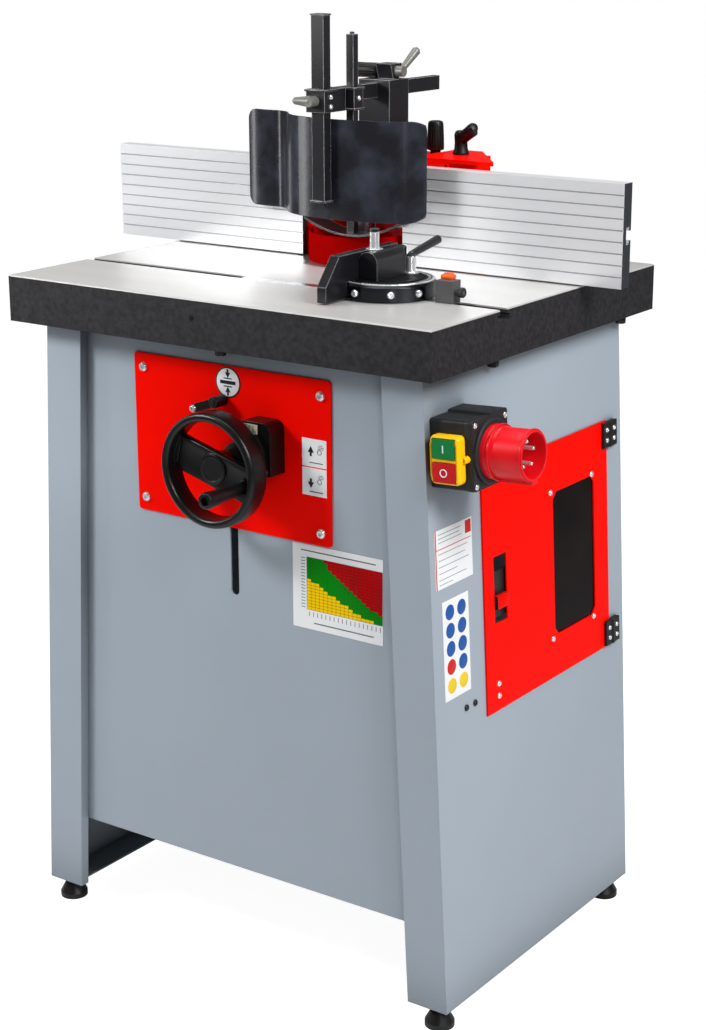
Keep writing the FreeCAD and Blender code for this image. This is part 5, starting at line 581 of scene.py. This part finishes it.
on_panel = {"spot": (0, PANEL_FACE, 0), "turn": TO_FRONT}
settle(strip((136, 110, 0.5), (161, 547, 0.2), 0.2), "speed_chart", card_white, "machine", "cabinet_paint",
       **on_panel)
COLUMNS, ROWS = 18, 17
FIELD_LEFT, FIELD_RIGHT, FIELD_LOW, FIELD_HIGH = 115, 228, 518, 586
step = (FIELD_RIGHT - FIELD_LEFT) / COLUMNS
cell = (FIELD_HIGH - FIELD_LOW) / ROWS
FULL_COLUMNS = 3
yellow_rows = [round(ROWS * 0.6 * (1 - n / COLUMNS) ** 1.5) for n in range(COLUMNS)]
green_rows = [ROWS] * FULL_COLUMNS
green_rows += [round(ROWS * (0.17 + 0.83 * ((COLUMNS - n) / (COLUMNS - FULL_COLUMNS)) ** 1.4))
               for n in range(FULL_COLUMNS, COLUMNS)]
for material, name, starts, ends in (
        (chart_yellow, "chart_yellow", [0] * COLUMNS, yellow_rows),
        (chart_green, "chart_green", yellow_rows, green_rows),
        (chart_red, "chart_red", green_rows, [ROWS] * COLUMNS)):
    bars = []
    for n in range(COLUMNS):
        if ends[n] > starts[n]:
            middle_x = FIELD_LEFT + (n + 0.5) * step
            middle_z = FIELD_LOW + (starts[n] + ends[n]) * cell / 2
            bars.append(strip((step, (ends[n] - starts[n]) * cell, 0.3), (middle_x, middle_z, 0.5), 0.05))
    settle(weld(*bars), name, material, "machine", "cabinet_paint", **on_panel)
field_wide, field_tall = step * COLUMNS, cell * ROWS
grid = [strip((field_wide, 0.35, 0.3), (FIELD_LEFT + field_wide / 2, FIELD_LOW + m * cell, 0.6), 0.05)
        for m in range(ROWS + 1)]
grid += [strip((0.35, field_tall, 0.3), (FIELD_LEFT + n * step, FIELD_LOW + field_tall / 2, 0.6), 0.05)
         for n in range(COLUMNS + 1)]
settle(weld(*grid), "chart_grid", print_black, "machine", "black_plastic", **on_panel)
chart_ticks = [((FIELD_LEFT - 6, FIELD_LOW + (m + 0.5) * cell, 0.4), UP) for m in range(ROWS)]
chart_ticks += [((FIELD_LEFT + (n + 0.5) * step, FIELD_LOW - 6, 0.4), (0, 0, 90)) for n in range(COLUMNS)]
settle(copies(slab((6, 1, 0.3), 0.1, 1), chart_ticks), "chart_ticks", ruled_grey, "machine", "grey_plastic",
       **on_panel)
settle(weld(strip((112, 1.6, 0.3), (162, 594, 0.4)), strip((90, 1.6, 0.3), (170, 501, 0.4))), "chart_lines",
       ruled_grey, "machine", "grey_plastic", **on_panel)

readout_x, readout_z = 53, 746
pane = inset_faces(slab((24, 12, 1.6), 0.6), lambda spot, normal: normal.z > 0.9 and abs(spot.x) < 6,
                   1.1, -0.5)
settle(pane, "readout_window", pale_pane, "machine", "grey_plastic", (readout_x, -254.5, readout_z), TO_FRONT)
settle(copies(slab((0.8, 8, 0.4), 0.1, 1), [((x, 0, 0), UP) for x in (-5, 0.5, 6)]), "readout_gaps",
       print_black, "machine", "black_plastic", (readout_x, -254.9, readout_z), TO_FRONT)
screws("readout_screws", 3.6, 2.2, [((x, -254, 694), TO_FRONT) for x in (41, 77)], dark_screw)
LEVER_FACE = -245.2
screws("lock_lever_screw", 5, 3.4, [((-42, LEVER_FACE, 756.4), TO_FRONT)], zinc_plate, "height_lock")
lever_cap = turn_on_lathe([(7.2, 0), (7.2, 1.2), (6.4, 2), (4.4, 2), (4.2, 1), (3.8, 1), (3.4, 2.6),
                           (0.6, 2.8)], 32)
settle(lever_cap, "lock_lever_cap", dark_screw, "height_lock", "black_plastic", (-10, LEVER_FACE, 768),
       TO_FRONT)

# Handwheel: one moulded wheel with a deep rounded rim and a wide web set back in it, and a crank grip.
# Black glass-filled plastic with a fine grain; the grip turns on a pin and has a hollow end.
wheel_black = finish("wheel_black", rgb(10, 10, 11), 0.3, drift=0.1, patch=30, grain=0.6, grain_size=900,
                     edge=0.8, shine=0.34)
WHEEL_X, WHEEL_Z, WEB_TURN, CRANK_REACH = 12, 693, 16, 51.5
rim = turn_ring(soft_band(61.5, 72.5, 0, 31, 4.8), 96)
web = inset_faces(slab((126, 46, 10), 3, 4), lambda spot, normal: normal.z > 0.9 and abs(spot.y) < 15,
                  6, -1.6)
web = place(web, (0, 0, 12), (0, 0, -WEB_TURN))
hub = turn_on_lathe([(19, -10), (19, 8), (20.5, 10), (20.5, 16), (19, 18.2), (15.5, 18.6), (14.5, 17.6),
                     (0.5, 17.4)], 48)
wheel = settle(weld(rim, web, hub), "rounded_handwheel", wheel_black, "wheel", "black_plastic",
               (WHEEL_X, -259, WHEEL_Z), TO_FRONT)
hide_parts("handwheel")
grip = turn_on_lathe([(9.2, 0), (9.6, 1), (9.6, 5), (8.4, 7), (7.7, 16), (7.8, 26), (8.4, 40), (9.3, 54),
                      (10.2, 66), (10.5, 71), (10.4, 75), (9.7, 77.2), (8.4, 78), (6.2, 78), (5.6, 77.4),
                      (5.4, 70), (3.6, 70), (3.4, 71.5), (0.4, 71.6)], 40)
crank_x = WHEEL_X + CRANK_REACH * cos(radians(WEB_TURN))
crank_z = WHEEL_Z - CRANK_REACH * sin(radians(WEB_TURN))
grip = settle(grip, "rounded_crank_grip", wheel_black, "crank", "black_plastic", (crank_x, -276, crank_z),
              TO_FRONT)
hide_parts("crank_handle")

# Switch: black moulded box with a screwed lid, a yellow button frame, a green start and a red stop button.
# The round inlet in its side is red plastic on a black flange, with five nickel pins.
box_black = finish("box_black", rgb(36, 36, 38), 0.5, drift=0.1, patch=40, grain=0.3, grain_size=1300,
                   edge=1.4, shine=0.28)
cover_yellow = finish("cover_yellow", rgb(252, 192, 4), 0.36, drift=0.04, patch=30, grain=0.08, edge=0.6)
start_green = finish("start_green", rgb(8, 122, 58), 0.34, drift=0.05, patch=60, grain=0.08, edge=1.6)
stop_red = finish("stop_red", rgb(196, 18, 22), 0.34, drift=0.05, patch=60, grain=0.08, edge=1.6)
inlet_red = finish("inlet_red", rgb(228, 16, 28), 0.34, drift=0.05, patch=30, grain=0.1, grain_size=900,
                   edge=1.0, shine=0.3)
dress(box_black, "switch_box")
dress(start_green, "start_button")
dress(stop_red, "stop_button")
dress(inlet_red, "inlet_shroud")
INLET_Y, INLET_Z, PIN_CIRCLE, PIN_STEP = -187.5, -94.5, 15.5, 72
pin_seats = [((60, INLET_Y + PIN_CIRCLE * sin(radians(a)), INLET_Z + PIN_CIRCLE * cos(radians(a))), TO_RIGHT)
             for a in range(0, 360, PIN_STEP)]
pin = turn_on_lathe([(2.6, 0), (2.6, 45), (2.3, 47), (1.4, 48)], 20)
pins = settle(copies(pin, pin_seats), "inlet_nickel_pins", zinc_plate, "machine", "bright_steel",
              **RIGHT_SIDE)
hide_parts("inlet_pins")
BUTTON_X, FRAME_Z, START_Z, STOP_Z = 30, -97, -83, -111
button_frame = slab((40, 19, 58), 6, 5)
for z in (START_Z, STOP_Z):
    button_frame = cut(button_frame, strip((31.4, 26, 24.4), (0, -3, z - FRAME_Z), 0.2))
ears = []
for x in (-20.2, 20.2):
    ear = turn_on_lathe([(4.4, 0), (4.4, 8), (3.7, 9.4), (2.2, 9.4), (2, 8.4), (0.4, 8.2)], 24)
    ears.append(place(ear, (x, 9, 0), TO_FRONT))
ribs = [strip((1.2, 2, 40), (x, -8.8, 0), 0.4) for x in (-17.8, 17.8)]
button_frame = place(weld(button_frame, *ears, *ribs), (BUTTON_X, -235.5, FRAME_Z))
button_frame = settle(button_frame, "yellow_button_frame", cover_yellow, "machine", "yellow_plastic",
                      **RIGHT_SIDE)
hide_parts("switch_cover")
settle(strip((1.5, 0.6, 9), (BUTTON_X, -246.6, START_Z), 0.2), "start_mark", card_white, "start",
       "grey_plastic", **RIGHT_SIDE)
stop_ring = place(turn_ring(soft_band(3.7, 5, 0, 0.6, 0.2), 32), (BUTTON_X, -246.4, STOP_Z), TO_FRONT)
settle(stop_ring, "stop_mark", card_white, "stop", "grey_plastic", **RIGHT_SIDE)
box_lid = inset_faces(slab((13, 78, 84), 4, 3),
                      lambda spot, normal: normal.x > 0.9 and abs(spot.y) < 20 and abs(spot.z) < 20, 10, -0.8)
settle(place(box_lid, (52, INLET_Y, INLET_Z)), "switch_box_lid", box_black, "machine", "box_plastic",
       **RIGHT_SIDE)
lid_corners = [(y, z) for y in (-220.5, -154.5) for z in (-58.5, -130.5)]
screws("switch_lid_screws", 3.6, 1.6, [((58.2, y, z), TO_RIGHT) for y, z in lid_corners], zinc_plate,
       **RIGHT_SIDE)
flange = turn_ring([(32.6, 0), (38.4, 0), (38.4, 3.4), (37.2, 5), (33.4, 5.4), (32.6, 4.8)], 64)
settle(place(flange, (57.6, INLET_Y, INLET_Z), TO_RIGHT), "inlet_flange", box_black, "machine",
       "box_plastic", **RIGHT_SIDE)
bands = [place(turn_ring(soft_band(inner, inner + 1.4, 0, wide, 0.6), 64), (x, INLET_Y, INLET_Z), TO_RIGHT)
         for inner, wide, x in ((32.2, 3, 71), (29.9, 2.4, 112.6))]
settle(weld(*bands), "inlet_bands", inlet_red, "machine", "red_plastic", **RIGHT_SIDE)

# Belt door: red sheet on two black hinges, with a smoked pane and a sliding latch behind its slot.
# The pane is screwed at its corners, the hinges have four screws each, and the latch has a red finger tab.
smoked = finish("smoked", rgb(16, 9, 10), 0.2, drift=0.6, patch=14, grain=0.02, edge=0.4, shine=0.06)
latch_dark = finish("latch_dark", rgb(58, 56, 58), 0.36, metallic=0.6, drift=0.12, patch=30, grain=0.1)
hinge_black = finish("hinge_black", rgb(20, 20, 21), 0.42, drift=0.12, patch=60, grain=0.3, grain_size=1200,
                     edge=1.2)
dress(signal_red, "door_panel")
dress(smoked, "door_window")
dress(latch_dark, "door_latch")
dress(hinge_black, "hinge_frame_leaves", "hinge_door_leaves")
pane_corners = [(y, z) for z in (-204.5, -400.5) for y in (42, 150.5)]
door_spots = pane_corners + [(-95, -418.5), (-95, -434.5)]
screws("door_screws", 3.9, 2.4, [((2.2, y, z), TO_RIGHT) for y, z in door_spots], zinc_plate, "door",
       **RIGHT_SIDE)
for name, body, y in (("hinge_door_screws", "door", 188.5), ("hinge_frame_screws", "machine", 207.5)):
    hinge_seats = [((6.2, y, z), TO_RIGHT) for z in (-152.5, -166.5, -427.5, -441.5)]
    screws(name, 3.3, 2, hinge_seats, zinc_plate, body, **RIGHT_SIDE)
tab_ribs = [strip((1, 20, 1.4), (2.8, 0, z), 0.4) for z in (-5, -1.7, 1.7, 5)]
tab = weld(slab((5.6, 26, 17.4), 1, 2), *tab_ribs)
settle(place(tab, (2.7, -82.5, -313.3)), "latch_tab", signal_red, "latch", "red_latch", **RIGHT_SIDE)


# Dust hood: welded red sheet with a low round cover in front of the cutter, held down by a fluted knob.
# A ratchet lever clamps the right fence's plate on top of it. The port behind has a flange and a bead.
def flute(grip, sides, low, high, depth):
    """Presses every second face of a turned grip inwards between two heights."""
    def groove(spot, normal):
        if not low < spot.z < high or abs(normal.z) > 0.4:
            return False
        turn = Vector((spot.x, spot.y)).angle_signed(Vector((1, 0)))
        return round(turn / (2 * pi) * sides - 0.5) % 2 == 1
    return inset_faces(grip, groove, 0.3, -depth)


GRIP_SIDES = 36
knob_black = finish("knob_black", rgb(14, 14, 15), 0.4, drift=0.1, patch=40, grain=0.3, grain_size=1200,
                    edge=0.6, shine=0.3)
# The cutter cover takes a darker copy of the red: painted shade from the shield above it.
red_with_painted_shade = finish("red_with_painted_shade", rgb(160, 4, 4), 0.42, drift=0.12, patch=12, grain=0.12, edge=0.8, shine=0.0)
dress(signal_red, "dust_hood", "right_fence_bracket")
dress(red_with_painted_shade, "cutter_cover")
dress(knob_black, "fence_clamp_lever")
lever_hub = turn_on_lathe([(10.6, 0.2), (10.8, 1), (10.4, 3), (8.9, 7), (8.4, 15), (8.8, 21), (9, 25),
                           (8, 28.6), (5.6, 30.6), (0.6, 31)], 32)
lever_grip = turn_on_lathe([(6, 2), (6.2, 8), (6.7, 20), (7.1, 28), (6.8, 32.5), (5, 35.6), (0.8, 36.6)], 28)
lever_grip = place(lever_grip, (0, 0, 22), (0, 63.4, -25))
settle(weld(lever_hub, lever_grip), "ratchet_lever_cover", knob_black, "fence_lever", "black_plastic",
       (101, 144, 1041.6))
HOOD_TOP = 1036
knob = turn_on_lathe([(6.4, 0), (7, 0.8), (7, 4.6), (11.2, 6), (11.5, 7.4), (11.3, 20), (10.6, 36),
                      (10.2, 40.6), (9.2, 43), (6.6, 44), (0.5, 44.1)], GRIP_SIDES)
knob = flute(knob, GRIP_SIDES, 8, 40, 0.7)
stud = turn_on_lathe([(4.6, -153), (4.9, -152), (4.9, 0.4), (4.6, 0.5)], 20)
knob = settle(weld(knob, stud), "fluted_hood_knob", knob_black, "hood_clamp", "black_plastic",
              (47, 166, HOOD_TOP + 0.3))
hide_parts("hood_knob")
behind_port = {"spot": (-20, 191, 962), "turn": TO_REAR}
bead = place(turn_ring(soft_band(49.4, 52.4, 0, 4.4, 1.4), 72), (0, 0, 67))
settle(bead, "port_bead", signal_red, "machine", "red_paint", **behind_port)
settle(turn_ring(soft_band(50.2, 59.5, 0.1, 2.4, 0.8), 72), "port_flange", signal_red, "machine",
       "red_paint", **behind_port)
RIVET_CIRCLE = 55.4
rivet_seats = [((RIVET_CIRCLE * cos(radians(a)), RIVET_CIRCLE * sin(radians(a)), 2.2), UP)
               for a in range(45, 360, 90)]
screws("port_rivets", 2.8, 2, rivet_seats, zinc_plate, **behind_port)
screws("hood_screws", 5, 3, [((-150, y, HOOD_TOP), UP) for y in (112, 168)], dark_screw)

# Fence: two halves of drawn aluminium bar with grooves along their faces, clear anodised.
# Each half slides on a bracket of its own, and the sawn ends are painted dark as shade.
anodised = finish("anodised", rgb(246, 247, 250), 0.3, metallic=0.5, drift=0.03, patch=6, grain=0.08,
                  grain_size=800, stretch=(0.05, 1, 2.0), edge=0.3)
# Painted shade darkens the grooves along the bar's faces.
shade_hollows(anodised, 4, 0.4, 0.45, 0.9)
bar_nodes, bar_links = anodised.node_tree.nodes, anodised.node_tree.links
facing = bar_nodes.new("ShaderNodeNewGeometry")
facing_axes = bar_nodes.new("ShaderNodeSeparateXYZ")
bar_links.new(facing.outputs["True Normal"], facing_axes.inputs["Vector"])
sideways = bar_nodes.new("ShaderNodeMath")
sideways.operation = "ABSOLUTE"
bar_links.new(facing_axes.outputs["X"], sideways.inputs[0])
# Faces that point sideways, the bar's ends, are painted dark grey as shade.
end_shade_mask = bar_nodes.new("ShaderNodeMapRange")
end_shade_mask.inputs["From Min"].default_value = 0.8
end_shade_mask.inputs["From Max"].default_value = 0.95
bar_links.new(sideways.outputs[0], end_shade_mask.inputs["Value"])
painted_end_shade = bar_nodes.new("ShaderNodeMixRGB")
painted_end_shade.inputs["Color2"].default_value = rgb(66, 68, 72)
bar_links.new(end_shade_mask.outputs["Result"], painted_end_shade.inputs["Fac"])
bar_links.new(bar_nodes["shade"].outputs["Color"], painted_end_shade.inputs["Color1"])
bar_links.new(painted_end_shade.outputs["Color"], bar_nodes["Principled BSDF"].inputs["Base Color"])
dress(anodised, "left_fence", "right_fence")

# Guard: square column and post, flat arm, curved shield and springy shoe, all black painted steel.
# Lighter edges are painted in, partly paint rubbed off and partly painted highlight. Grey levers and a black
# grip clamp the arm and the post.
guard_black = finish("guard_black", rgb(28, 28, 31), 0.28, drift=0.15, patch=14, grain=0.12, grain_size=600,
                     edge=1.5, shine=0.5, edge_wear_and_glint=0.85)
shield_black = finish("shield_black", rgb(20, 21, 28), 0.2, patch=24, grain=0.1, grain_size=500, edge=0.8,
                      shine=0.5)
mottle = shield_black.node_tree.nodes["tint"].color_ramp
mottle.elements[0].position, mottle.elements[1].position = 0.4, 0.76
mottle.elements[0].color, mottle.elements[1].color = rgb(27, 27, 33), rgb(56, 60, 72)
lever_grey = finish("lever_grey", rgb(120, 120, 116), 0.4, metallic=0.3, drift=0.14, patch=60, grain=0.3)
dress(guard_black, "guard_column", "guard_arm", "guard_post", "hold_down_bar", "hold_down_shoe")
dress(shield_black, "guard_shield")
dress(lever_grey, "arm_clamp_lever", "post_clamp_knob")
arm_grip = turn_on_lathe([(6.4, 0), (7, 0.6), (9.3, 3.2), (9.9, 4.8), (9.7, 24), (9.9, 43), (9.3, 45),
                          (7, 47.4), (0.5, 47.9)], GRIP_SIDES)
arm_grip = flute(arm_grip, GRIP_SIDES, 5, 43, 0.6)
arm_stud = turn_on_lathe([(3.4, -11.8), (3.85, -11.2), (3.85, 0.4), (3.6, 0.5)], 24)
arm_grip = settle(weld(arm_grip, arm_stud), "fluted_arm_grip", knob_black, "arm_knob", "black_plastic",
                  (-12.3, 123.5, 1146), TO_LEFT)
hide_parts("arm_clamp_knob")
CAPS_Z, POST_X, COLLAR_X, COLLAR_Y = 1130.6, -8, 7, 30
sleeve_cap = cut(slab((33, 29, 3), 1, 2), slab((19.8, 15.8, 9), 0.3, 1))
settle(sleeve_cap, "sleeve_cap", guard_black, "arm", "black_paint", (POST_X, -17.5, CAPS_Z))
collar_cap = cut(slab((24, 24, 3), 1.2, 2), slab((11.8, 11.8, 9), 0.3, 1))
settle(copies(collar_cap, [((0, 0, z), UP) for z in (0, -26)]), "collar_flanges", guard_black, "arm",
       "black_paint", (COLLAR_X, COLLAR_Y, CAPS_Z))
guard_spots = ((17.2, COLLAR_Y, 1118), (6.6, -17, 1122), (6.6, -17, 1110))
screws("guard_screws", 3.4, 2, [(spot, TO_RIGHT) for spot in guard_spots], zinc_plate, "arm")
screws("column_screws", 3.4, 2.2, [((16.6, y, 1048), TO_RIGHT) for y in (112, 136)], dark_screw)
settle(place(slab((25, 18, 3), 1, 2), (POST_X, -18.2, 990)), "post_foot", guard_black, "guard", "black_paint")

# Mitre gauge: bright bar in the table's slot, black head on a round steel base with a ground rim and scale.
# A steel stud and a lever clamp it; the index block beside it has a thumbscrew and an orange end cap.
gauge_steel = finish("gauge_steel", rgb(52, 54, 58), 0.22, metallic=1.0, drift=0.12, patch=30, grain=0.08,
                     grain_size=700, edge=0.8)
# Its edges are painted lighter, partly as worn paint and partly as painted highlight.
gauge_black = finish("gauge_black", rgb(20, 20, 24), 0.3, drift=0.14, patch=30, grain=0.3, grain_size=500,
                     edge=1.4, shine=0.4, edge_wear_and_glint=0.4)
block_grey = finish("block_grey", rgb(78, 78, 78), 0.5, drift=0.08, patch=40, grain=0.25, grain_size=700,
                    edge=0.8)
scale_black = finish("scale_black", rgb(11, 11, 12), 0.6, drift=0.1, patch=40, grain=0.2, shine=0.08)
cap_orange = finish("cap_orange", rgb(250, 92, 28), 0.45, drift=0.1, patch=90, grain=0.3, grain_size=500)
dress(turned_steel, "mitre_bar")
dress(gauge_steel, "mitre_base")
dress(gauge_black, "mitre_head", "mitre_fence", "mitre_lever")
dress(block_grey, "stop_block")
pivot = (160, -114, 921)
TICK_CIRCLE, SCREW_CIRCLE = 51.4, 59.6
settle(turn_ring(soft_band(54.6, 57.8, -0.4, 1.2, 0.5), 96), "gauge_rim", zinc_plate, "gauge_head",
       "bright_steel", pivot)
gauge_top = turn_ring([(8, -0.3), (54.4, -0.3), (54.4, 0.5), (53.8, 0.9), (49, 0.9), (48.4, 0.2), (44, 0.2),
                       (43.4, 1.3), (36, 1.3), (35, 0.5), (30, 0.5), (29, 1.2), (8, 1.2)], 72)
settle(gauge_top, "gauge_top", scale_black, "gauge_head", "black_paint", pivot)
ticks = [((TICK_CIRCLE * cos(radians(a)), TICK_CIRCLE * sin(radians(a)), 0.9), (0, 0, a))
         for a in range(-90, 95, 5)]
settle(copies(slab((4, 0.5, 0.3), 0.1, 1), ticks), "gauge_ticks", card_white, "gauge_head", "grey_plastic",
       pivot)
side_seats = [((SCREW_CIRCLE * cos(radians(a)), SCREW_CIRCLE * sin(radians(a)), -11), (90, 0, a + 90))
              for a in (-18, -52, -96)]
screws("gauge_side_screws", 4.6, 4, side_seats, zinc_plate, "gauge_head", spot=pivot)
STUD_X, STUD_Y = 146.5, -122
gauge_stud = turn_on_lathe([(5.7, -6), (5.7, 20), (5.2, 22.4), (3.6, 24.4), (0.5, 25.2)], 32)
settle(gauge_stud, "gauge_stud", zinc_plate, "gauge_head", "bright_steel", (STUD_X, STUD_Y, 956))
stud_nut = turn_on_lathe([(10.4, 0), (10.6, 0.4), (10.6, 1.8), (10, 2.4), (6, 2.4), (5.9, 5.4), (5.5, 6)], 6)
settle(stud_nut, "gauge_stud_nut", zinc_plate, "gauge_head", "bright_steel", (STUD_X, STUD_Y, 954.6))
lever_boss = turn_on_lathe([(9.4, 0), (9.6, 0.4), (9.6, 2.6), (8.8, 3.4), (6.2, 3.4), (6, 4), (6, 21),
                            (5.7, 22)], 32)
settle(lever_boss, "gauge_lever_boss", zinc_plate, "gauge_lever", "bright_steel", (170, -77, 921.3))
cap = inset_faces(slab((16, 13, 6), 2.4, 3), lambda spot, normal: normal.z > 0.9 and abs(spot.x) < 4, 2, 1.4)
settle(cap, "index_cap", cap_orange, "gauge", "grey_plastic", (243, -106.5, 929.4))
thumbscrew = turn_on_lathe([(5.4, 0), (6.2, 0.6), (6.2, 6), (5.6, 6.8), (2.6, 6.8), (2.4, 6), (0.4, 6)], 18)
settle(thumbscrew, "index_thumbscrew", dark_screw, "gauge", "bright_steel", (263, -114, 913.5), TO_RIGHT)
